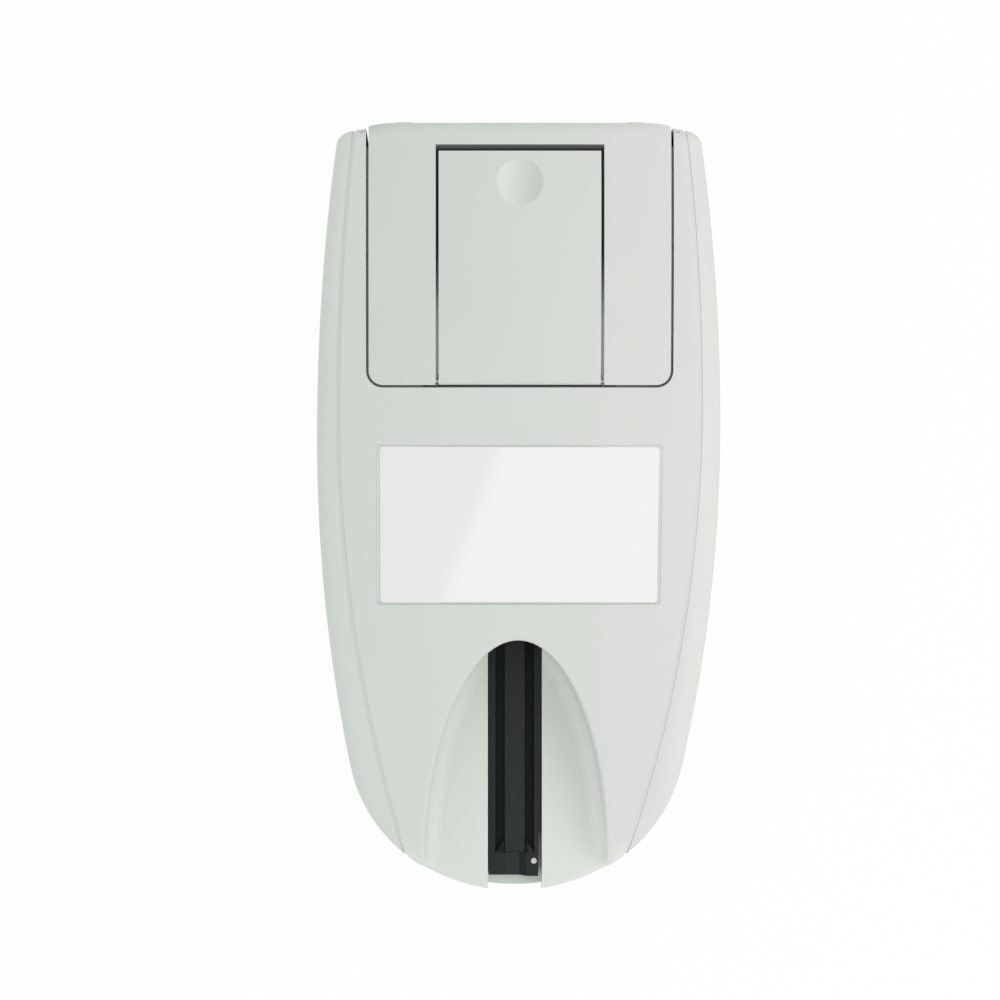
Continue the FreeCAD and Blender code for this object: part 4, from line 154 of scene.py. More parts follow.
class Graph:
    """Node tree of a material or of the world."""

    def __init__(self, owner: Union[bpy.types.Material, bpy.types.World]) -> None:
        """Empties the owner's node tree.

        Args:
            owner: Material or world that the nodes belong to.
        """
        owner.use_nodes = True
        self.tree = owner.node_tree
        self.tree.nodes.clear()

    def node(self, kind: str, inputs: Inputs = None, settings: Optional[Mapping[str, Any]] = None) -> bpy.types.Node:
        """Adds a node.

        Args:
            kind: Type of the node.
            inputs: Values or wires for its sockets, by identifier or name.
            settings: Its options, set before its sockets.

        Returns:
            The new node.
        """
        node = self.tree.nodes.new(kind)
        for name, value in (settings or {}).items():
            setattr(node, name, value)
        for name, value in (inputs or {}).items():
            self.feed(self._socket(node.inputs, name), value)
        return node

    @staticmethod
    def _socket(sockets: Iterable[bpy.types.NodeSocket], name: str) -> bpy.types.NodeSocket:
        """First socket with this identifier or name."""
        return next(socket for socket in sockets if name in (socket.identifier, socket.name))

    def feed(self, socket: bpy.types.NodeSocket, value: Value) -> None:
        """Links a wire to a socket, or writes a plain value on it.

        Args:
            socket: Input of a node.
            value: Wire or plain value.
        """
        if isinstance(value, Wire):
            self.tree.links.new(value.socket, socket)
        else:
            socket.default_value = value

    def out(self, node: bpy.types.Node, name: str) -> Wire:
        """Wire from one of a node's outputs."""
        return Wire(self, self._socket(node.outputs, name))

    def wire(
        self, kind: str, output: str, inputs: Inputs = None, settings: Optional[Mapping[str, Any]] = None
    ) -> Wire:
        """Adds a node and takes the wire from one of its outputs."""
        return self.out(self.node(kind, inputs, settings), output)

    def math(self, operation: str, first: Value, second: Value) -> Wire:
        """Adds a Math node for two numbers."""
        return self.wire("ShaderNodeMath", "Value", {"Value": first, "Value_001": second}, {"operation": operation})

    def vector(self, operation: str, inputs: Inputs) -> Wire:
        """Adds a Vector Math node."""
        return self.wire("ShaderNodeVectorMath", "Vector", inputs, {"operation": operation})

    def tint(self, colour: Value, tone: Value) -> Wire:
        """Colour made lighter or darker by a number."""
        base = colour if isinstance(colour, Wire) else tuple(colour)[:3]
        return self.vector("SCALE", {"Vector": base, "Scale": tone})

    def mix(self, factor: Value, first: Value, second: Value) -> Wire:
        """Blend of two colours, where a factor of 0 gives the first and 1 the second."""
        inputs = {"Factor_Float": factor, "A_Color": first, "B_Color": second}
        return self.wire("ShaderNodeMix", "Result_Color", inputs, {"data_type": "RGBA"})

    def position(self) -> Wire:
        """Place on the object, in metres in the row frame."""
        return self.wire("ShaderNodeTexCoord", "Object")

    def axes(self) -> Tuple[Wire, Wire, Wire]:
        """The three coordinates of the place on the object."""
        node = self.node("ShaderNodeSeparateXYZ", {"Vector": self.position()})
        return self.out(node, "X"), self.out(node, "Y"), self.out(node, "Z")

    def lean(self) -> Wire:
        """How far the surface leans to the left or right, from -1 to 1."""
        return self.wire("ShaderNodeSeparateXYZ", "X", {"Vector": self.wire("ShaderNodeTexCoord", "Normal")})

    def noise(self, size: float, detail: float = 2.0, place: Optional[Wire] = None) -> Wire:
        """Soft random pattern about 0.5, with patches of a size in metres and some finer layers of detail."""
        inputs = {"Vector": place or self.position(), "Scale": 1 / size, "Detail": detail}
        return Wire(self, self.node("ShaderNodeTexNoise", inputs).outputs[0])


class Shader(Graph):
    """Graph of one material, around one Principled shader."""

    def __init__(self, name: str) -> None:
        """Makes the material with its shader and output.

        Args:
            name: Name of the material.
        """
        self.material = bpy.data.materials.new(name)
        super().__init__(self.material)
        self.surface = self.node("ShaderNodeBsdfPrincipled")
        self.output = self.node("ShaderNodeOutputMaterial", {"Surface": self.out(self.surface, "BSDF")})

    def sunk(self) -> Wire:
        """How far a place lies below the crowned deck, in metres."""
        across, along, up = self.axes()
        back = along - DECK.high_at
        return DECK.top - back * back / (2 * DECK.radius) - across * across / (2 * DECK.crown) - up

    def relief(self, height: Wire, depth: float) -> None:
        """Raises the surface by a pattern, with a depth in metres."""
        inputs = {"Height": height, "Distance": depth, "Strength": 1.0}
        self.surface_values({"Normal": self.wire("ShaderNodeBump", "Normal", inputs)})

    def surface_values(self, values: Mapping[str, Value]) -> None:
        """Feeds the Principled shader's sockets."""
        for name, value in values.items():
            self.feed(self._socket(self.surface.inputs, name), value)


@dataclass(frozen=True)
class Finish:
    """Colour and gloss that every finish has."""

    name: str
    colour: str
    roughness: float = 0.5

    def material(self) -> bpy.types.Material:
        """Makes the material of this finish."""
        shader = Shader(self.name)
        self.dress(shader)
        shader.material.diffuse_color = paint(self.colour)
        return shader.material

    def dress(self, shader: Shader) -> None:
        """Writes the finish on a shader."""
        raise NotImplementedError


@dataclass(frozen=True)
class MouldedPlastic(Finish):
    """Injection-moulded plastic with a spark-eroded texture.

    The grain is the size of the texture's pits and the depth is how deep they are, both in metres.
    """

    grain: float = 0.00042
    depth: float = 0.000018
    flow_size: float = 0.045
    drift: float = 0.036
    speckle: float = 0.03
    dull_drift: float = 0.1
    dull_speckle: float = 0.12
    specular: float = 0.4

    def dress(self, shader: Shader) -> None:
        """Feeds colour, roughness and the moulded texture.

        Args:
            shader: Shader to feed.
        """
        pits = shader.noise(self.grain)
        flow = shader.noise(self.flow_size, 3.0)
        tone = 1 + (flow - 0.5) * self.drift + (pits - 0.5) * self.speckle
        shader.surface_values({
            "Base Color": self.shade(shader, tone),
            "Roughness": self.roughness + (flow - 0.5) * self.dull_drift + (pits - 0.5) * self.dull_speckle,
            "Specular IOR Level": self.specular,
        })
        shader.relief(self.height(shader, pits), self.depth)

    def shade(self, shader: Shader, tone: Wire) -> Wire:
        """Colour of the plastic with its slight variation."""
        return shader.tint(paint(self.colour), tone)

    def height(self, shader: Shader, pits: Wire) -> Wire:
        """Pattern that is raised on the surface."""
        return pits


@dataclass(frozen=True)
class DeckPlastic(MouldedPlastic):
    """Plastic of the crowned deck, with painted light that makes it lighter and more neutral in hue towards the
    right.
    """

    # Painted light: the tone grows towards the right by this much per metre, and the colour turns to the lit colour.
    light_fade: float = 0.7
    lit_colour: str = "#D9D9D7"
    lit_side: float = 0.07
    depth_edge: float = 0.0004

    def side_lit(self, shader: Shader, tone: Wire) -> Wire:
        """Colour with painted light that grows slowly from the left side to the right."""
        across = shader.axes()[0]
        # Painted light: lighter towards the right, and turning to the lit colour right of the middle.
        return shader.tint(shader.mix(across.rise(0.0, self.lit_side), paint(self.colour), paint(self.lit_colour)),
                           tone + across * self.light_fade)


@dataclass(frozen=True)
class HousingPlastic(DeckPlastic):
    """Plastic of the housing: painted shade in the seam round the printer cover, and painted light that makes the
    valley and the flanks paler.

    The seam lies outside three lines: beside the cover, in front of it and across its corners.
    """

    # Colour of the painted shade in the seams.
    painted_shade: str = "#2E3231"
    seam_beside: float = 0.0542
    seam_ahead: float = 0.0502
    seam_corner: float = 0.0018
    line_edge: float = 0.0003
    seam_half: float = 0.0585
    seam_front: float = 0.046
    seam_rear: float = 0.1405
    limit_edge: float = 0.0005
    seam_depth: Pair = (0.0014, 0.0032)
    valley_half: float = 0.041
    valley_rear: float = -0.051
    valley_edge: float = 0.004
    valley_depth: Pair = (0.001, 0.005)
    # How much paler the painted light makes the deepest part of the valley.
    brightening: float = 0.085
    # Painted light on leaning faces: for each way, its share.
    flank_light: Pairs = ((-1.0, 0.2), (1.0, 0.02))
    steepest: float = 0.5

    def shade(self, shader: Shader, tone: Wire) -> Wire:
        """Plain colour with the painted light on the valley and the flanks, and the painted shade in the seam.

        Args:
            shader: Shader of the material.
            tone: Lightness of the plain plastic.

        Returns:
            The colour.
        """
        across, along, _ = shader.axes()
        beside = abs(across)
        sunk = shader.sunk()
        ring = beside.after(self.seam_beside, self.line_edge).larger(along.before(self.seam_ahead, self.line_edge))
        ring = ring.larger((beside - along).after(self.seam_corner, self.line_edge))
        # Painted shade: the floor of the seam round the cover, 1.4 to 3.2 mm below the deck, is mixed towards a dark
        # grey.
        seam_shade = sunk.within(*self.seam_depth, self.depth_edge) * ring
        seam_shade = seam_shade * along.within(self.seam_front, self.seam_rear, self.limit_edge)
        seam_shade = seam_shade * beside.before(self.seam_half, self.limit_edge)
        # Painted light: the valley is made paler the deeper it lies below the deck.
        lit_valley = beside.before(self.valley_half, self.valley_edge) * along.before(self.valley_rear, self.valley_edge)
        tone = tone + lit_valley * sunk.rise(*self.valley_depth) * self.brightening
        # Painted light: faces that lean to the left are made paler, those that lean to the right a little.
        lean = shader.lean()
        for way, share in self.flank_light:
            tone = tone + (lean * way).larger(0.0).smaller(self.steepest) * share
        return shader.mix(seam_shade, self.side_lit(shader, tone), paint(self.painted_shade))


@dataclass(frozen=True)
class CoverPlastic(DeckPlastic):
    """Plastic of the printer cover, with painted shade on the floor of the gaps beside the door, and painted light
    by the faces' lean.
    """

    # Colour of the painted shade in the gaps.
    painted_shade: str = "#242827"
    gap: Pair = (0.0298, 0.0312)
    gap_front: Pair = (0.068, 0.098)
    gap_rear: float = 0.1365
    gap_edge: float = 0.0002
    gap_depth: Pair = (0.001, 0.0032)
    # Painted light by how far the faces lean, and the lean at which it stops growing.
    dish_light: float = 0.45
    dish_light_limit: float = 0.2

    def shade(self, shader: Shader, tone: Wire) -> Wire:
        """Plain colour with painted light by the faces' lean, mixed with painted shade deep in the two gaps.

        Args:
            shader: Shader of the material.
            tone: Lightness of the plain plastic.

        Returns:
            The colour.
        """
        across, along, _ = shader.axes()
        # Painted shade on the floor of the two gaps beside the door.
        gap_shade = abs(across).within(*self.gap, self.gap_edge) * along.rise(*self.gap_front)
        gap_shade = gap_shade * along.before(self.gap_rear, self.gap_edge)
        gap_shade = gap_shade * shader.sunk().within(*self.gap_depth, self.depth_edge)
        # Painted light: faces that lean to the right are paler and those that lean to the left darker.
        tone = tone + shader.lean().larger(-self.dish_light_limit).smaller(self.dish_light_limit) * self.dish_light
        return shader.mix(gap_shade, self.side_lit(shader, tone), paint(self.painted_shade))


@dataclass(frozen=True)
class TrayPlastic(MouldedPlastic):
    """Black tray: the strip bed is painted lighter, and painted shade darkens the grooves, the step and the hatched
    corner hooks.
    """

    # Colour of the painted shade in the grooves, along the step and on the hooks.
    tray_shade_colour: str = "#070A0C"
    bed_half: float = 0.0039
    bed_edge: float = 0.0004
    bed_brightening: float = 0.22
    groove_outer: float = 0.0075
    groove_level: Pair = (0.0306, 0.0316)
    groove_start: float = -0.13104
    edge: float = 0.0002
    hooks: Pairs = ((-0.0076, -0.0032), (0.0018, 0.0053))
    hook_length: float = 0.0054
    hook_level: Pair = (0.0316, 0.0318)
    hook_edge: float = 0.0001
    hatch_pitch: float = 0.0012
    hatch_ridge: Pair = (0.15, 0.3)
    hatch_share: float = 0.6
    hatch_height: float = 6.0
    # Place and share of the painted shadow along the step at the tray's front.
    step: Pair = (0.0017, 0.0044)
    step_shadow_share: float = 0.6

    def hatching(self, shader: Shader) -> Wire:
        """Mask of the hooks at the grooves' front ends with their fine slanting ridges, used for their relief and
        for painted shade on them.

        Args:
            shader: Shader of the material.

        Returns:
            A mask between 0 and 1.
        """
        across, along, up = shader.axes()
        left, right = (across.within(*hook, self.hook_edge) for hook in self.hooks)
        hook = left.larger(right) * up.rise(*self.hook_level)
        hook = hook * along.within(self.groove_start, self.groove_start + self.hook_length, self.hook_edge)
        ridge = (along + abs(across)).stripes(self.hatch_pitch).rise(*self.hatch_ridge)
        # The whole hook takes part of the painted shade, the ridges the rest.
        return hook * (ridge * self.hatch_share + (1 - self.hatch_share))

    def shade(self, shader: Shader, tone: Wire) -> Wire:
        """Bed colour, with painted shade in the grooves, along the step and on the hatched hooks.

        Args:
            shader: Shader of the material.
            tone: Lightness of the plain plastic.

        Returns:
            The colour.
        """
        across, along, up = shader.axes()
        beside = abs(across)
        # The strip bed is painted lighter than the rest of the tray.
        brightening = beside.before(self.bed_half - self.bed_edge, self.bed_edge) * self.bed_brightening
        bed = shader.tint(paint(self.colour), tone + brightening)
        # Painted shadow along the step in front of the grooves.
        step = across.within(*self.step, self.edge) * along.before(self.groove_start - self.edge, self.edge)
        dark = shader.mix(self.hatching(shader).larger(step * self.step_shadow_share), bed, paint(self.tray_shade_colour))
        # Painted shade in the grooves below the bed's level.
        groove = beside.within(self.bed_half, self.groove_outer, self.edge) * (1 - up.rise(*self.groove_level))
        return shader.mix(groove, dark, paint(self.tray_shade_colour))

    def height(self, shader: Shader, pits: Wire) -> Wire:
        """Moulded pits, with the hooks' ridges on top."""
        return pits + self.hatching(shader) * self.hatch_height


@dataclass(frozen=True)
class WindowPlastic(Finish):
    """Back-painted glossy window over the display."""

    border_colour: str = "#E4E8E6"
    border: Pair = (0.0518, 0.05228)
    border_share: float = 0.5
    haze_size: float = 0.03
    haze_tone: float = 0.012
    smear: float = 0.02

    def dress(self, shader: Shader) -> None:
        """White face with a slightly greyer printed border and faint wiping marks.

        Args:
            shader: Shader to feed.
        """
        haze = shader.noise(self.haze_size, 4.0)
        edge = abs(shader.axes()[0]).rise(*self.border) * self.border_share
        face = shader.tint(paint(self.colour), 1 + (haze - 0.5) * self.haze_tone)
        shader.surface_values({
            "Base Color": shader.mix(edge, face, paint(self.border_colour)),
            "Roughness": self.roughness + haze * self.smear,
            "Specular IOR Level": 0.6,
            "Coat Weight": 0.6,
            "Coat Roughness": 0.02,
        })


@dataclass(frozen=True)
class BrushedMetal(Finish):
    """Metal with streaks along one direction, or fine mottling where it was plated."""

    grain: Grain = Grain.NONE
    streak: float = 0.0006
    contrast: float = 0.16
    patch_size: float = 0.012

    def dress(self, shader: Shader) -> None:
        """Metal whose roughness and height follow its streaks.

        Args:
            shader: Shader to feed.
        """
        place = shader.vector("MULTIPLY", {"Vector": shader.position(), "Vector_001": self.grain.value})
        lines = shader.noise(self.streak, 3.0, place)
        patches = shader.noise(self.patch_size, 3.0) - 0.5
        shader.surface_values({
            "Base Color": shader.tint(paint(self.colour), 1 + (lines - 0.5) * self.contrast + patches * 0.08),
            "Metallic": 1.0,
            "Roughness": self.roughness + (lines - 0.5) * 0.18 + patches * 0.1,
        })
        shader.relief(lines, 0.000008)


@dataclass(frozen=True)
class SolderMask(Finish):
    """Green board with copper lines under the mask, tinned pads and glass weave."""

    copper: str = "#3E9A5C"
    pad: str = "#C9C6BC"
    line_pitch: float = 0.0019
    line_width: Pair = (0.1, 0.16)
    line_drift: float = 0.004
    pads_per_metre: float = 260.0
    pad_width: Pair = (0.1, 0.14)

    def dress(self, shader: Shader) -> None:
        """Copper lines run both ways and jump at random; small tinned dots stand for through-holes.

        Args:
            shader: Shader to feed.
        """
        across, along, _ = shader.axes()
        lengthways = shader.noise(0.016, 1.0).rise(0.49, 0.5)
        drift = shader.noise(0.006, 0.0) * self.line_drift
        first, second = (
            1 - (way + drift).stripes(self.line_pitch).rise(*self.line_width) for way in (across, along)
        )
        line = first * lengthways + second * (1 - lengthways)
        cells = {"Vector": shader.position(), "Scale": self.pads_per_metre}
        dots = 1 - shader.wire("ShaderNodeTexVoronoi", "Distance", cells, {"feature": "F1"}).rise(*self.pad_width)
        weave = shader.noise(0.0004, 1.0)
        board = shader.tint(paint(self.colour), 1 + (weave - 0.5) * 0.25)
        traced = shader.mix(line * 0.75, board, paint(self.copper))
        shader.surface_values({
            "Base Color": shader.mix(dots, traced, paint(self.pad)),
            "Metallic": dots * 0.9,
            "Roughness": self.roughness + weave * 0.12 - dots * 0.1,
            "Coat Weight": 0.3,
            "Coat Roughness": 0.12,
        })
        shader.relief(line * 0.6 + dots, 0.00003)


@dataclass(frozen=True)
class SoftRubber(Finish):
    """Matt elastomer with a dusty bloom."""

    bloom: str = "#3B3B3A"
    bloom_rise: Pair = (0.42, 0.72)
    bloom_share: float = 0.45

    def dress(self, shader: Shader) -> None:
        """Dark body with paler worn patches and a fine skin.

        Args:
            shader: Shader to feed.
        """
        skin = shader.noise(0.0005, 3.0)
        worn = shader.noise(0.006, 4.0).rise(*self.bloom_rise) * self.bloom_share
        shader.surface_values({
            "Base Color": shader.mix(worn, paint(self.colour), paint(self.bloom)),
            "Roughness": self.roughness + (skin - 0.5) * 0.14,
            "Specular IOR Level": 0.3,
        })
        shader.relief(skin, 0.00004)


@dataclass(frozen=True)
class ClearGlass(Finish):
    """Clear optical part of the measuring head."""

    def dress(self, shader: Shader) -> None:
        """Transmitting body with the faintest polish marks.

        Args:
            shader: Shader to feed.
        """
        polish = shader.noise(0.002, 3.0)
        shader.surface_values({
            "Base Color": shader.tint(paint(self.colour), 1 - (polish - 0.5) * 0.02),
            "Roughness": self.roughness + polish * 0.02,
            "Transmission Weight": 0.9,
            "IOR": 1.5,
        })


@dataclass(frozen=True)
class StripedRibbon(Finish):
    """Flat cable whose conductors show as stripes through its skin."""

    conductor: str = "#A9ABA6"
    pitch: float = 0.001
    stripe_width: Pair = (0.2, 0.28)
    stripe_share: float = 0.7

    def dress(self, shader: Shader) -> None:
        """Stripes across the width, slightly raised.

        Args:
            shader: Shader to feed.
        """
        stripe = 1 - shader.axes()[0].stripes(self.pitch).rise(*self.stripe_width)
        skin = shader.noise(0.004, 3.0) - 0.5
        film = shader.tint(paint(self.colour), 1 + skin * 0.05)
        shader.surface_values({
            "Base Color": shader.mix(stripe * self.stripe_share, film, paint(self.conductor)),
            "Roughness": self.roughness + skin * 0.1,
        })
        shader.relief(stripe, 0.00006)


class Palette:
    """The materials of the object, made once and looked up by their short names."""

    FINISHES: Mapping[str, Finish] = {
        "housing": HousingPlastic("housing_plastic", "#D5DBD5", 0.5),
        "cover": CoverPlastic("cover_plastic", "#D4DAD4", 0.48, speckle=0.026),
        "base": MouldedPlastic("base_plastic", "#C3C9C5", 0.55, grain=0.0005, depth=0.000024),
        "screen": WindowPlastic("screen_window_gloss", "#E9EAE9", 0.05),
        "tray": TrayPlastic("tray_black", "#262C2B", 0.5, grain=0.00035, specular=0.16),
        "pad": MouldedPlastic("white_reference", "#F0EFEA", 0.75, grain=0.0003, speckle=0.02),
        "pin": MouldedPlastic("white_pin", "#C6CBC8", 0.6, grain=0.0003, speckle=0.02),
        "dark_plastic": MouldedPlastic("dark_nylon", "#2B2D2E", 0.5, grain=0.0004, depth=0.00002),
        "connector": MouldedPlastic("connector_black", "#1B1C1D", 0.38, grain=0.0006, depth=0.00001),
        "rocker": MouldedPlastic("rocker_gloss", "#16181A", 0.16, grain=0.002, depth=0.00001, specular=0.55),
        "inner": MouldedPlastic("inner_grey", "#B9BFBD", 0.48, grain=0.0007, depth=0.000012),
        "gear": MouldedPlastic("gear_acetal", "#E6E3D6", 0.34, grain=0.0012, depth=0.000008, specular=0.5),
        "steel": BrushedMetal("plated_steel", "#B9BBBA", 0.34, Grain.NONE, 0.0012, 0.1),
        "sheet": BrushedMetal("rolled_sheet", "#AEB0AE", 0.38, Grain.ACROSS, 0.0005),
        "dark_steel": BrushedMetal("blackened_steel", "#232626", 0.55, Grain.ACROSS, 0.0005),
        # Grey sheet in the paper slot: painted shade standing for the shaded inside of the slot over the dark tear
        # bar.
        "blade": MouldedPlastic("slot_shade", "#585D5B", 0.55, grain=0.0003, speckle=0.02),
        "motor_can": BrushedMetal("motor_can", "#9DA0A1", 0.28, Grain.ACROSS, 0.0004, 0.12),
        "rubber": SoftRubber("feet_rubber", "#1F2021", 0.78),
        "seal": SoftRubber("seal_foam", "#8D9291", 0.85, bloom="#A4A9A7"),
        "board": SolderMask("board_green", "#0E5A30", 0.32),
        "glass": ClearGlass("optical_glass", "#EFF6F5", 0.02),
        "ceramic": MouldedPlastic("head_ceramic", "#CFC8B8", 0.3, grain=0.0009, depth=0.000006, specular=0.5),
        "ribbon": StripedRibbon("ribbon_film", "#E3E4DF", 0.4),
        "gold": BrushedMetal("contact_gold", "#D9B45A", 0.24, Grain.NONE, 0.0008, 0.08),
        "tin": BrushedMetal("tinned_legs", "#C4C6C6", 0.3, Grain.NONE, 0.0008, 0.1),
        "dark_screw": BrushedMetal("screw_zinc", "#8E9193", 0.36, Grain.NONE, 0.0008, 0.14),
    }

    NODES: Mapping[str, Tuple[str, ...]] = {
        "housing": ("top_shell",),
        "cover": ("printer_cover", "paper_door"),
        "base": ("base_shell",),
        "screen": ("screen_window",),
        "tray": ("strip_tray",),
        "pad": ("reference_pad",),
        "pin": ("tray_pin",),
        "dark_plastic": ("optics_housing", "tray_sensor", "paper_sensor", "buzzer", "coin_cell_holder",
                         "switch_body", "board_components"),
        "connector": ("keyboard_port", "dc_jack"),
        "rocker": ("switch_rocker",),
        "inner": ("tray_guide", "paper_cradle"),
        "gear": ("drive_gear", "motor_pinion", "platen_gear", "idler_gear", "printer_pinion", "platen_bushes"),
        "steel": ("door_hinge_pins", "drive_gear_axle", "platen_shaft", "idler_axle", "coin_cell", "serial_port"),
        "dark_steel": ("tear_bar",),
        "sheet": ("motor_bracket", "printer_frame", "head_spring", "display_module"),
        "motor_can": ("tray_motor", "printer_motor"),
        "rubber": ("rubber_feet", "platen_roller"),
        "seal": ("screen_gasket",),
        "board": ("main_board", "display_board", "led_board"),
        "glass": ("optics_window", "optics_lens"),
        "ceramic": ("print_head",),
        "ribbon": ("display_ribbon", "printer_ribbon", "optics_ribbon"),
    }

    def __init__(self) -> None:
        """Makes every material."""
        self.materials = {name: finish.material() for name, finish in self.FINISHES.items()}

    def __getitem__(self, name: str) -> bpy.types.Material:
        """Material of a finish."""
        return self.materials[name]

    def dress_nodes(self) -> None:
        """Gives each CAD node its material."""
        for finish, names in self.NODES.items():
            for name in names:
                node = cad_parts[name]
                for holder in node.material_slots:
                    holder.material = self[finish]
                LOG.info("node %s wears %s", name, finish)


def spoke(radius: float, angle: float, height: float) -> Vector:
    """Point at a height, and at a distance and an angle from the Z axis."""
    return Vector((radius * math.cos(angle), radius * math.sin(angle), height))


def circle(radius: float, height: float, sides: int) -> List[Vector]:
    """Points of a circle about the Z axis."""
    return [spoke(radius, math.tau * i / sides, height) for i in range(sides)]


def span(points: Sequence[Vector], axis: Vector) -> Pair:
    """Least and greatest distance of some points along an axis."""
    along = [point.dot(axis) for point in points]
    return min(along), max(along)


def linked(data: bpy.types.ID) -> bpy.types.Object:
    """Puts a mesh, camera or lamp in the scene under its own name.

    Args:
        data: What the object shows.

    Returns:
        The object.
    """
    made = bpy.data.objects.new(data.name, data)
    bpy.context.scene.collection.objects.link(made)
    return made


def islands(node: str) -> List[List[Vector]]:
    """Separate solids of a CAD node.

    Args:
        node: Name of the node.

    Returns:
        For each solid, the list of its corner points.
    """
    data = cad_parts[node].data
    parent = list(range(len(data.vertices)))

    def root(index: int) -> int:
        """Point that stands for all those that this one is joined to."""
        while parent[index] != index:
            parent[index] = parent[parent[index]]
            index = parent[index]
        return index

    places: dict = {}
    for vertex in data.vertices:
        first = places.setdefault(tuple(round(part, 7) for part in vertex.co), vertex.index)
        parent[root(vertex.index)] = root(first)
    for edge in data.edges:
        parent[root(edge.vertices[0])] = root(edge.vertices[1])
    groups: dict = {}
    for vertex in data.vertices:
        groups.setdefault(root(vertex.index), []).append(vertex.co.copy())
    return [points for points in groups.values() if len(points) > 3]


class Stock:
    """Mesh of one piece while it is made, in metres in the row frame."""

    def __init__(self, name: str) -> None:
        """Starts a piece of this name with nothing."""
        self.name = name
        self.mesh = bmesh.new()

    def skin(self, rows: Sequence[Sequence[Vector]], shift: int = 0, caps: bool = True) -> None:
        """Covers closed rows of points with faces.

        Args:
            rows: Rows with the same number of points, each row a closed loop.
            shift: How many rows further on the loop closes, for a thread.
            caps: Whether the first and last row get a face.
        """
        corners = [[self.mesh.verts.new(point) for point in row] for row in rows]
        for index in range(len(rows) - 1):
            for step in range(len(rows[0])):
                ahead = (step + 1) % len(rows[0])
                other = index + (shift if ahead == 0 else 0)
                if other + 1 < len(rows):
                    self.mesh.faces.new((corners[index][step], corners[other][ahead],
                                         corners[other + 1][ahead], corners[index + 1][step]))
        if caps:
            self.mesh.faces.new(corners[0][::-1])
            self.mesh.faces.new(corners[-1])

    def turned(self, profile: Sequence[Pair], at: Vector, axis: Vector, sides: int) -> None:
        """Turns a profile of radii and heights about an axis through the place where the height is 0."""
        turn = axis.to_track_quat("Z", "Y")
        self.skin([[at + turn @ point for point in circle(radius, height, sides)] for radius, height in profile])

    def thread(self, start: Vector, axis: Vector, length: float, radius: float, pitch: float) -> None:
        """Cuts a helical thread about an axis, whose ends lie inside other metal.

        Args:
            start: Point on the axis where the thread begins.
            axis: Direction it runs in.
            length: Length of the thread.
            radius: Radius over its crests.
            pitch: Distance between crests.
        """
        turn = axis.to_track_quat("Z", "Y")
        root, sides = radius - pitch * 0.45, 16
        shape = ((0.0, root), (0.2, root), (0.5, radius), (0.7, radius))
        rows = []
        for lap in range(int(length / pitch) + 1):
            for share, reach in shape:
                row = []
                for step in range(sides):
                    height = min(max((lap + share + step / sides - 1) * pitch, 0.0), length)
                    row.append(start + turn @ spoke(reach, math.tau * step / sides, height))
                rows.append(row)
        self.skin(rows, shift=len(shape), caps=False)

    def block(self, low: Vector, high: Vector, bevel: float) -> None:
        """Adds a block with rounded edges.

        Args:
            low: Lowest corner.
            high: Highest corner.
            bevel: Width of the edges.
        """
        corners = bmesh.ops.create_cube(self.mesh, size=1.0)["verts"]
        for corner in corners:
            corner.co = (low + high) / 2 + Vector([part * extent for part, extent in zip(corner.co, high - low)])
        edges = list({edge for corner in corners for edge in corner.link_edges})
        bmesh.ops.bevel(self.mesh, geom=edges, offset=bevel, segments=2, affect="EDGES", profile=0.6)

    def piece(
        self, body: str, material: bpy.types.Material, slot: str, replaces: Sequence[str] = (), sharp: float = 35.0
    ) -> None:
        """Makes the object.

        Args:
            body: CAD body that it rides on.
            material: Its material.
            slot: Not used.
            replaces: CAD nodes that it stands for.
            sharp: Angle in degrees above which an edge stays sharp.
        """
        bmesh.ops.remove_doubles(self.mesh, verts=self.mesh.verts, dist=1e-7)
        bmesh.ops.dissolve_degenerate(self.mesh, edges=self.mesh.edges, dist=1e-7)
        bmesh.ops.recalc_face_normals(self.mesh, faces=self.mesh.faces)
        data = bpy.data.meshes.new(self.name)
        self.mesh.to_mesh(data)
        self.mesh.free()
        data.polygons.foreach_set("use_smooth", [True] * len(data.polygons))
        data.set_sharp_from_angle(angle=math.radians(sharp))
        data.materials.append(material)
        made = linked(data)
        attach(made, body)
        if replaces:
            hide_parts(*replaces)
        LOG.info("piece %s rides on %s with %d faces", self.name, body, len(data.polygons))


@dataclass
class Detail:
    """A finer part of the instrument, made of the materials of the palette."""

    palette: Palette

    def build(self) -> None:
        """Makes the pieces of this part."""
        raise NotImplementedError


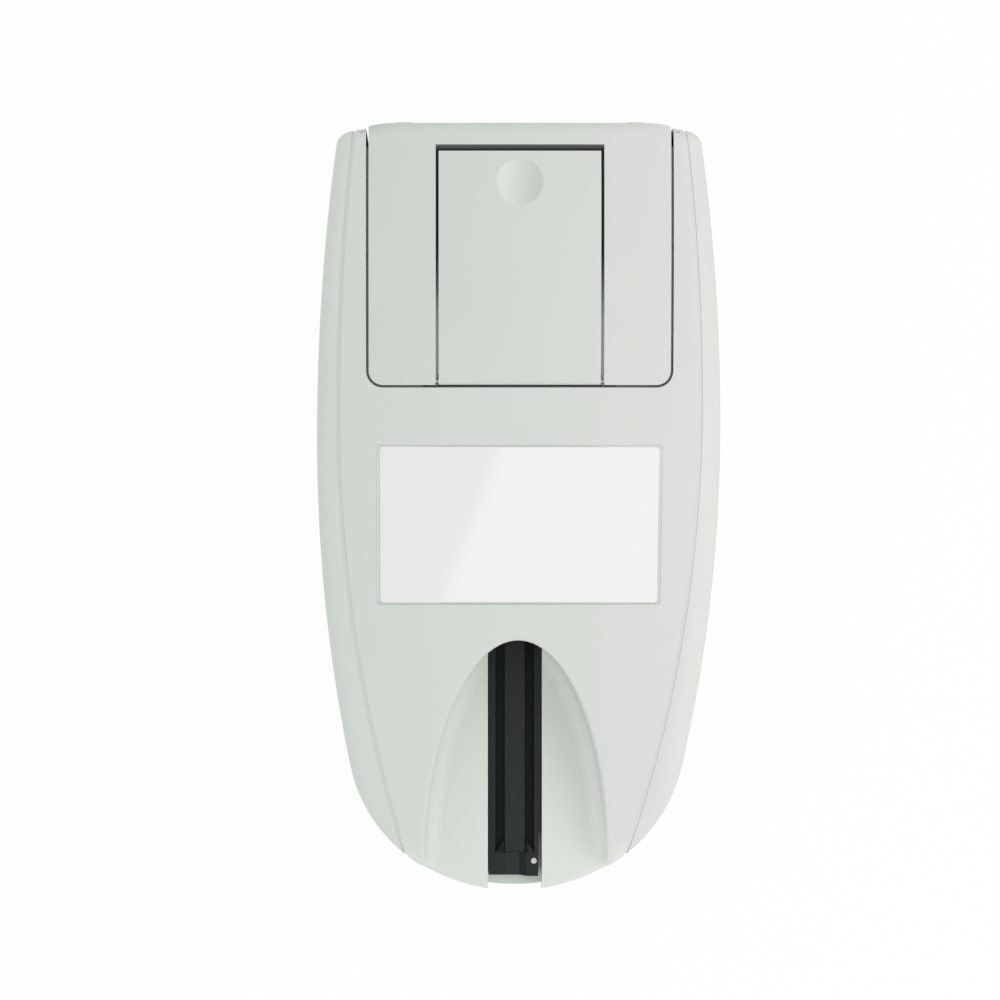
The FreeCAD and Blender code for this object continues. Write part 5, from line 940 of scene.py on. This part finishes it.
@dataclass
class ScrewSet(Detail):
    """Cross-recessed screws in place of the plain ones of one CAD node.

    The shares are of the head's radius or height. The head's rows hold the share of the radius and the
    share of the height below the face, round ones first and then those of the cross recess.
    """

    node: str
    axis: Place = (0.0, 0.0, 1.0)
    thread_pitch: float = 0.0006
    rim_share: float = 0.95
    thin_share: float = 0.3
    pan_share: float = 0.7
    shank_shares: Pair = (0.2, 0.55)
    sunk_share: float = 0.9
    tip_share: float = 0.55
    thread_end: float = 0.8
    recess_share: float = 0.55
    arm_share: float = 0.17
    head_sides: int = 48
    round_rows: Pairs = (
        (0.55, 1.0), (0.98, 1.0), (1.0, 0.9), (1.0, 0.55), (0.97, 0.35), (0.88, 0.1575), (0.74, 0.042))
    cross_rows: Pairs = ((1.0, 0.0), (0.94, 0.08), (0.6, 0.6))

    def build(self) -> None:
        """Measures each plain screw and makes a threaded one with a cross recess in its place."""
        stock = Stock(self.node + "_recessed")
        for points in islands(self.node):
            self._screw(stock, points)
        stock.piece("housing", self.palette["dark_screw"], "steel", (self.node,), sharp=40.0)

    def _screw(self, stock: Stock, points: Sequence[Vector]) -> None:
        """Adds one screw with a pan head.

        Args:
            stock: Mesh to add to.
            points: Corner points of the plain screw.
        """
        axis = Vector(self.axis).normalized()
        low, high = span(points, axis)
        middle = sum(points, Vector()) / len(points)
        centre = middle - axis * middle.dot(axis)
        reach = [(point - centre - axis * point.dot(axis)).length for point in points]
        radius = max(reach)
        foot, crest = span([point for point, far in zip(points, reach) if far > radius * self.rim_share], axis)
        outward, top = (-axis, low) if abs(foot - low) < abs(crest - high) else (axis, high)
        height = crest - foot
        if height < radius * self.thin_share:
            height = radius * self.pan_share
        least, usual = (radius * share for share in self.shank_shares)
        shank = min([far for far in reach if far > least] + [usual])
        face = centre + axis * top
        turn = outward.to_track_quat("Z", "Y")
        rows = [circle(radius * size, -height * level, self.head_sides) for size, level in self.round_rows]
        rows += [self._cross(radius * size, -height * level) for size, level in self.cross_rows]
        stock.skin([[turn @ point + face for point in row] for row in rows])
        start = face - outward * (height * self.sunk_share)
        length = (high - low) - height * self.sunk_share
        core = shank - self.thread_pitch * 0.5
        stock.turned([(core, 0.0), (core, core - length), (core * self.tip_share, -length)], start, outward, 16)
        stock.thread(start, -outward, length - core * self.thread_end, shank, self.thread_pitch)

    def _cross(self, size: float, level: float) -> List[Vector]:
        """Outline of the cross recess, with its points at the same angles as those of the head.

        Args:
            size: Radius of the head that the cross would suit.
            level: Height of the outline.

        Returns:
            The points.
        """
        reach, arm = size * self.recess_share, size * self.arm_share
        points = []
        for index in range(self.head_sides):
            angle = math.tau * index / self.head_sides
            x, y = (max(abs(part), 1e-9) for part in (math.cos(angle), math.sin(angle)))
            points.append(spoke(max(min(reach / x, arm / y), min(arm / x, reach / y)), angle, level))
        return points


@dataclass
class DisplayWindow(Detail):
    """Window with softly rounded edges, and the sloping inner faces of the recess round it."""

    corner: float = 0.0012
    corner_steps: int = 6
    side_parts: int = 12
    growth: float = 0.00018
    roll: float = 0.00035
    roll_steps: int = 4
    recess_half: Pair = (0.05275, 0.0301)
    recess_clear: float = 0.00004
    pane_clear: float = 0.00001
    step_top: float = 0.00102
    rim: float = 0.0029
    rim_chamfer: float = 0.0001
    gasket: float = 0.0004
    place: Matrix = field(default_factory=Matrix)

    def build(self) -> None:
        """Makes the window in place of the CAD one, and the slope."""
        points = [vertex.co.copy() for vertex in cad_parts["screen_window"].data.vertices]
        up, side = Vector(DECK.tilt).normalized(), Vector((1.0, 0.0, 0.0))
        back = up.cross(side)
        limits = [span(points, way) for way in (side, back, up)]
        middle = side * sum(limits[0]) / 2 + back * sum(limits[1]) / 2
        floor = limits[2][0] - self.gasket
        self.place = Matrix.Translation(middle + up * floor) @ Matrix((side, back, up)).transposed().to_4x4()
        half = [(high - low) / 2 + self.growth for low, high in limits[:2]]
        top = limits[2][1] - floor
        self._pane(half, top)
        self._slope(half, top - self.roll)

    def _ring(self, half: Sequence[float], inset: float, corner: float, level: float, bowed: bool = False) -> list:
        """Rounded rectangle of points about the middle of the recess floor.

        Args:
            half: Half width and half length.
            inset: How far inside these the ring runs.
            corner: Radius of the corners.
            level: Height over the recess floor.
            bowed: Whether the ring drops with the crowned deck.

        Returns:
            The points, in the row frame.
        """
        points = []
        for quarter, (sx, sy) in enumerate(((1, 1), (-1, 1), (-1, -1), (1, -1))):
            centre = Vector((sx * (half[0] - inset - corner), sy * (half[1] - inset - corner), 0.0))
            for step in range(self.corner_steps + 1):
                points.append(centre + spoke(corner, math.pi / 2 * (quarter + step / self.corner_steps), level))
        drop = 0.5 if bowed else 0.0
        ring = []
        for point, ahead in zip(points, points[1:] + points[:1]):
            parts = self.side_parts if (ahead - point).length > 0.01 else 1
            for x, y, z in (point + (ahead - point) * (i / parts) for i in range(parts)):
                ring.append(self.place @ Vector((x, y, z - drop * (x * x / DECK.crown + y * y / DECK.radius))))
        return ring

    def _pane(self, half: Sequence[float], top: float) -> None:
        """Adds the window with rolled top edges.

        Args:
            half: Half width and half length.
            top: Height over the recess floor.
        """
        corner = self.corner + self.growth
        rows = [self._ring(half, 0.0, corner, self.gasket)]
        for step in range(self.roll_steps + 1):
            angle = math.pi / 2 * step / self.roll_steps
            inset = self.roll * (1 - math.cos(angle))
            rows.append(self._ring(half, inset, corner - inset, top - self.roll * (1 - math.sin(angle))))
        rows.append(self._ring(half, self.roll * 2, self.corner, top))
        stock = Stock("window_pane")
        stock.skin(rows)
        stock.piece("housing", self.palette["screen"], "screen", ("screen_window",), sharp=60.0)

    def _slope(self, half: Sequence[float], foot: float) -> None:
        """Adds the sloping faces between the window's edge and the recess rim.

        Args:
            half: Half width and half length of the window.
            foot: Height at which the faces meet the window's side.
        """
        clear, chamfer = self.recess_clear, self.rim_chamfer
        rows = [self._ring(half, -self.pane_clear, self.corner, level) for level in (self.step_top, foot)]
        rows += [
            self._ring(self.recess_half, clear + chamfer, self.corner, self.rim - chamfer, True),
            self._ring(self.recess_half, clear, self.corner, self.rim, True),
            self._ring(self.recess_half, clear, self.corner, self.step_top),
        ]
        stock = Stock("recess_slope")
        stock.skin(rows + rows[:1], caps=False)
        stock.piece("housing", self.palette["housing"], "housing", sharp=50.0)


@dataclass
class CoverTrim(Detail):
    """Rounded rear lip of the paper slot with a sloping grey sheet under it, painted shade over the dark tear bar,
    and the lips along the door's gaps.

    The first two profiles hold the way back from the slot's rear edge and the height over the deck of each
    corner, and the third one the way in from the slot's side and the height.
    """

    slot_rear: float = 0.13646
    slot_half: float = 0.03119
    door_front: float = 0.0484
    slot_steps: int = 24
    gap_steps: int = 32
    lip_profile: Pairs = (
        (0.0, 0.0), (-0.00035, 0.0), (-0.0005, -0.00004), (-0.00062, -0.00015), (-0.00066, -0.0003), (0.0, -0.0009))
    # Profile of the grey sheet of painted shade in the slot.
    shade_sheet_profile: Pairs = (
        (-0.0004, -0.00025), (-0.0007, -0.00028), (-0.0011, -0.0006), (-0.0024, -0.0022), (-0.0024, -0.0025),
        (-0.0011, -0.0013), (-0.0004, -0.0009))
    side_profile: Pairs = (
        (0.0, 0.0), (0.00018, 0.0), (0.00027, -0.000048), (0.0003, -0.000144), (0.0003, -0.0012), (0.0, -0.0012))

    def build(self) -> None:
        """Adds the lip, the grey sheet of painted shade and the two side lips."""
        # The sheet under the lip is painted shade in the slot.
        for name, profile, finish, slot in (
            ("slot_lip", self.lip_profile, "cover", "housing"), ("slot_shade_sheet", self.shade_sheet_profile, "blade", "steel"),
        ):
            self._strip(name, finish, slot, [
                [(self.slot_half * (step * 2 / self.slot_steps - 1), self.slot_rear + back, height)
                 for back, height in profile] for step in range(self.slot_steps + 1)
            ])
        length = self.slot_rear - self.door_front
        for name, side in (("gap_lip_left", -1), ("gap_lip_right", 1)):
            self._strip(name, "cover", "housing", [
                [(side * (self.slot_half - inset), self.door_front + length * step / self.gap_steps, height)
                 for inset, height in self.side_profile] for step in range(self.gap_steps + 1)
            ])

    def _strip(self, name: str, finish: str, slot: str, rows: Sequence[Sequence[Place]]) -> None:
        """Adds a strip that follows the deck.

        Args:
            name: Name of the piece.
            finish: Name of its finish.
            slot: Not used by the piece that it is passed on to.
            rows: Rows of corners, each with its place and its height over the deck.
        """
        stock = Stock(name)
        stock.skin([[Vector((x, y, DECK.level(x, y) + height)) for x, y, height in row] for row in rows])
        stock.piece("housing", self.palette[finish], slot, sharp=50.0)


@dataclass
class RearContacts(Detail):
    """Metal inside the connectors of the rear wall.

    The pin's tip holds the radius and the way out of each ring, as shares of the pin's radius.
    """

    serial_rows: Tuple[Tuple[int, float], ...] = ((5, 0.0014), (4, -0.0014))
    serial_pitch: float = 0.017 / 6
    serial_recess: float = 0.0011
    serial_sleeve: float = 0.003
    sleeve_outer: float = 0.00052
    sleeve_inner: float = 0.0003
    sleeve_sides: int = 20
    keyboard_ring: float = 0.0035
    keyboard_angles: Tuple[int, ...] = (15, 62, 118, 165, 215, 325)
    keyboard_recess: float = 0.0042
    keyboard_sleeve: float = 0.0011
    jack_recess: float = 0.0008
    pin_radius: float = 0.00108
    pin_length: float = 0.0062
    pin_tip: Pairs = ((0.3, 0.0), (0.75, -0.18), (1.0, -0.6))
    pin_sides: int = 28
    blade_low: Place = (-0.0009, -0.009, -0.0031)
    blade_high: Place = (0.0009, -0.0022, -0.0027)
    blade_edge: float = 0.0001
    outward: Place = (0.0, 1.0, 0.0)

    def build(self) -> None:
        """Makes the contacts of the serial port, the keyboard port and the power jack."""
        low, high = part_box("serial_port")
        self._sleeves("serial_sleeves", self._face(low, high), self.serial_sleeve, [
            ((index - (count - 1) / 2) * self.serial_pitch, -self.serial_recess, level)
            for count, level in self.serial_rows for index in range(count)
        ])
        low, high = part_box("keyboard_port")
        self._sleeves("keyboard_sleeves", self._face(low, high), self.keyboard_sleeve, [
            (math.cos(angle) * self.keyboard_ring, -self.keyboard_recess, math.sin(angle) * self.keyboard_ring)
            for angle in map(math.radians, self.keyboard_angles)
        ])
        self._jack()

    @staticmethod
    def _face(low: Place, high: Place) -> Vector:
        """Middle of the rear face of a connector, from the corners of its box."""
        return Vector(((low[0] + high[0]) / 2, high[1], (low[2] + high[2]) / 2))

    def _sleeves(self, name: str, face: Vector, length: float, mouths: Sequence[Place]) -> None:
        """Adds open contact sleeves that run inwards from their mouths.

        Args:
            name: Name of the piece.
            face: Middle of the connector's rear face.
            length: Length of the sleeves.
            mouths: Places of their open ends, from the face.
        """
        outer, inner = self.sleeve_outer, self.sleeve_inner
        profile = [
            (inner * 0.9, -length * 0.8), (inner, -inner), (inner * 1.1, -inner * 0.3), (outer * 0.9, 0.0),
            (outer, -outer * 0.3), (outer, -length),
        ]
        stock = Stock(name)
        for mouth in mouths:
            stock.turned(profile, face + Vector(mouth), Vector(self.outward), self.sleeve_sides)
        stock.piece("housing", self.palette["gold"], "steel")

    def _jack(self) -> None:
        """Metal cap over the pin of the power jack, with a rounded tip, and the spring blade beside it."""
        low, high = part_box("dc_jack")
        face, out = self._face(low, high), Vector(self.outward)
        profile = [(self.pin_radius * size, self.pin_radius * back) for size, back in self.pin_tip]
        profile.append((self.pin_radius, -self.pin_length))
        stock = Stock("jack_pin_cap")
        stock.turned(profile, face - out * self.jack_recess, out, self.pin_sides)
        stock.block(face + Vector(self.blade_low), face + Vector(self.blade_high), self.blade_edge)
        stock.piece("housing", self.palette["tin"], "steel")


@dataclass
class BoardDetail(Detail):
    """Chip legs on the main board."""

    leg_pitch: float = 0.0008
    leg_width: float = 0.00034
    leg_reach: float = 0.0009
    leg_thick: float = 0.00014
    leg_root: float = -0.0002
    leg_rise: float = 0.00063
    row_margin: float = 0.001
    chip_height: float = 0.0014

    def build(self) -> None:
        """Finds the chips among the board's components and gives them legs."""
        stock = Stock("chip_legs")
        for points in islands("board_components"):
            low, high = (Vector([pick(point[i] for point in points) for i in range(3)]) for pick in (min, max))
            if abs((high - low).z - self.chip_height) < 1e-5:
                square = abs((high - low).x - (high - low).y) < 1e-4
                self._legs(stock, low, high, Side.ALL_SIDES if square else Side.LONG_SIDES)
        stock.piece("housing", self.palette["tin"], "steel")

    def _legs(self, stock: Stock, low: Vector, high: Vector, rows: Side) -> None:
        """Adds the legs of one chip: out of its side, down, and flat on their pads.

        Args:
            stock: Mesh to add to.
            low: Lowest corner of the chip.
            high: Highest corner of the chip.
            rows: Which sides have legs.
        """
        reach, rise, thick = self.leg_reach, self.leg_rise, self.leg_thick
        outline = (
            (self.leg_root, rise), (0.25 * reach, rise), (0.45 * reach, thick), (reach, thick), (reach, 0.0),
            (0.38 * reach, 0.0), (0.18 * reach, rise - thick), (self.leg_root, rise - thick),
        )
        turns = ((0, high.x, low.y, high.y, 1), (0, low.x, low.y, high.y, -1),
                 (1, high.y, low.x, high.x, 1), (1, low.y, low.x, high.x, -1))
        for axis, side, start, end, sign in turns[:rows.value]:
            count = int((end - start - self.row_margin) / self.leg_pitch)
            first = (start + end) / 2 - (count - 1) / 2 * self.leg_pitch
            for place in (first + index * self.leg_pitch for index in range(count)):
                edges = (place - self.leg_width / 2, place + self.leg_width / 2)
                leg = [[Vector((side + sign * out, edge, low.z + up)) for out, up in outline] for edge in edges]
                stock.skin([[spot.yxz for spot in row] for row in leg] if axis else leg)


@dataclass
class Studio:
    """Floor, light and camera.

    The soft panel is placed so that its edge mirrors in the display window as a slanting line.
    """

    pixels: int = 1000
    focal_px: float = 2746.0
    camera_at: Place = (-0.033, 0.00045, 1.1)
    camera_turn: Place = (0.005, 0.0, 0.0)
    camera_shift: float = 0.0701
    ambient: float = 1.035
    floor_size: float = 4.0
    floor_colour: str = "#F4F4F4"
    floor_lift: float = 0.955
    key_power: float = 4.6
    key_size: Pair = (0.9, 0.9)
    key_colour: Place = (1.0, 0.985, 0.96)
    key_at: Place = (1.05, -0.25, 1.15)
    panel_level: float = 1.07
    panel_distance: float = 0.95
    panel_size: Pair = (0.28, 0.34)
    edge_at_rear: float = 0.43
    edge_at_front: float = 0.22
    lit_at: float = 0.8

    def build(self) -> None:
        """Makes the stage, with colours shown as they are written."""
        bpy.context.scene.view_settings.view_transform = "Standard"
        self._camera()
        self._floor()
        self._world()
        self._key()
        self._panel()

    def _lamp(self, name: str, size: Pair, power: float) -> bpy.types.Object:
        """Adds a rectangular lamp.

        Args:
            name: Name of the lamp.
            size: Width and length.
            power: Its power.

        Returns:
            The lamp.
        """
        data = bpy.data.lights.new(name, "AREA")
        data.shape = "RECTANGLE"
        data.size, data.size_y = size
        data.energy = power
        return linked(data)

    def _camera(self) -> None:
        """Camera straight above, as in the photograph."""
        data = bpy.data.cameras.new("overhead_camera")
        data.sensor_width = 36.0
        data.lens = self.focal_px * data.sensor_width / self.pixels
        data.shift_x = self.camera_shift
        camera = linked(data)
        camera.location = self.camera_at
        camera.rotation_euler = self.camera_turn
        bpy.context.scene.camera = camera

    def _floor(self) -> None:
        """Pale floor that shows white to the camera and keeps a soft shadow."""
        mesh = bmesh.new()
        bmesh.ops.create_grid(mesh, x_segments=1, y_segments=1, size=self.floor_size)
        data = bpy.data.meshes.new("studio_floor")
        mesh.to_mesh(data)
        mesh.free()
        floor = linked(data)
        shader = Shader("floor_paper")
        lift = shader.wire("ShaderNodeLightPath", "Is Camera Ray") * self.floor_lift
        paper = 0.99 + shader.noise(0.05, 3.0) * 0.02
        shade = shader.tint(paint(self.floor_colour), (1 - lift) * paper)
        shader.surface_values({"Base Color": shade, "Roughness": 0.9, "Specular IOR Level": 0.0})
        glow = shader.wire("ShaderNodeEmission", "Emission", {"Color": (1, 1, 1, 1), "Strength": lift})
        both = {"Shader": shader.out(shader.surface, "BSDF"), "Shader_001": glow}
        shader.feed(shader.output.inputs["Surface"], shader.wire("ShaderNodeAddShader", "Shader", both))
        data.materials.append(shader.material)

    def _world(self) -> None:
        """Even light from all round, which shows as white behind the object."""
        world = bpy.data.worlds.new("studio_world")
        bpy.context.scene.world = world
        graph = Graph(world)
        camera, glossy, through = (
            graph.wire("ShaderNodeLightPath", f"Is {ray} Ray") for ray in ("Camera", "Glossy", "Transmission")
        )
        level = camera.larger(glossy).larger(through) * (1 - self.ambient) + self.ambient
        sky = graph.wire("ShaderNodeBackground", "Background", {"Strength": level})
        graph.node("ShaderNodeOutputWorld", {"Surface": sky})

    def _key(self) -> None:
        """Large soft lamp on the right."""
        lamp = self._lamp("key_softbox", self.key_size, self.key_power)
        lamp.data.color = self.key_colour
        lamp.location = self.key_at
        lamp.rotation_euler = (-Vector(self.key_at)).to_track_quat("-Z", "Y").to_euler()

    def _mirrored(self, spot: Vector) -> Vector:
        """Way in which the camera sees the mirror image of a point on the window."""
        return (spot - Vector(self.camera_at)).normalized().reflect(Vector(DECK.tilt))

    def _panel(self) -> None:
        """Overhead panel whose edge shows in the window."""
        low, high = (Vector(corner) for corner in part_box("screen_window"))
        rear_left, front_left = Vector((low.x, high.y, high.z)), Vector((low.x, low.y, low.z))
        width = Vector((high.x - low.x, 0, 0))
        centre = (low + high) / 2
        centre_way = self._mirrored(centre)
        plane_at = centre + centre_way * self.panel_distance

        def seen(spot: Vector) -> Vector:
            """Where the mirrored ray from a point of the window meets the panel's plane."""
            way = self._mirrored(spot)
            return spot + way * ((plane_at - spot).dot(centre_way) / way.dot(centre_way))

        rear = seen(rear_left + width * self.edge_at_rear)
        front = seen(front_left + width * self.edge_at_front)
        right = seen(rear_left + width * self.lit_at)
        edge = (rear - front).normalized()
        inward = edge.cross(centre_way).normalized()
        if inward.dot(right - rear) < 0:
            inward = -inward
        if inward.cross(edge).dot(centre_way) < 0:
            edge = -edge
        middle = (rear + front) / 2 + inward * (self.panel_size[0] / 2)
        power = self.panel_level * math.pi * self.panel_size[0] * self.panel_size[1]
        columns = Matrix((inward, edge, centre_way)).transposed()
        lamp = self._lamp("overhead_panel", self.panel_size, power)
        lamp.matrix_world = Matrix.Translation(middle) @ columns.to_4x4()


class Analyzer:
    """The whole instrument."""

    UPRIGHT = ("case_screws", "guide_screws", "optics_screws", "printer_screws", "board_screws")
    LYING: Mapping[str, Place] = {"motor_screws": (1.0, 0.0, 0.0), "display_screws": DECK.tilt}

    def build(self) -> None:
        """Dresses the CAD nodes and adds the finer pieces."""
        palette = Palette()
        palette.dress_nodes()
        screws = [ScrewSet(palette, name) for name in self.UPRIGHT]
        screws += [ScrewSet(palette, name, axis) for name, axis in self.LYING.items()]
        for part in (*screws, *(kind(palette) for kind in (DisplayWindow, CoverTrim, RearContacts, BoardDetail))):
            part.build()


def main() -> None:
    """Builds the stage and the instrument."""
    logging.basicConfig(level=logging.INFO, format="%(name)s: %(message)s")
    Studio().build()
    Analyzer().build()


if __name__ == "__main__":
    main()
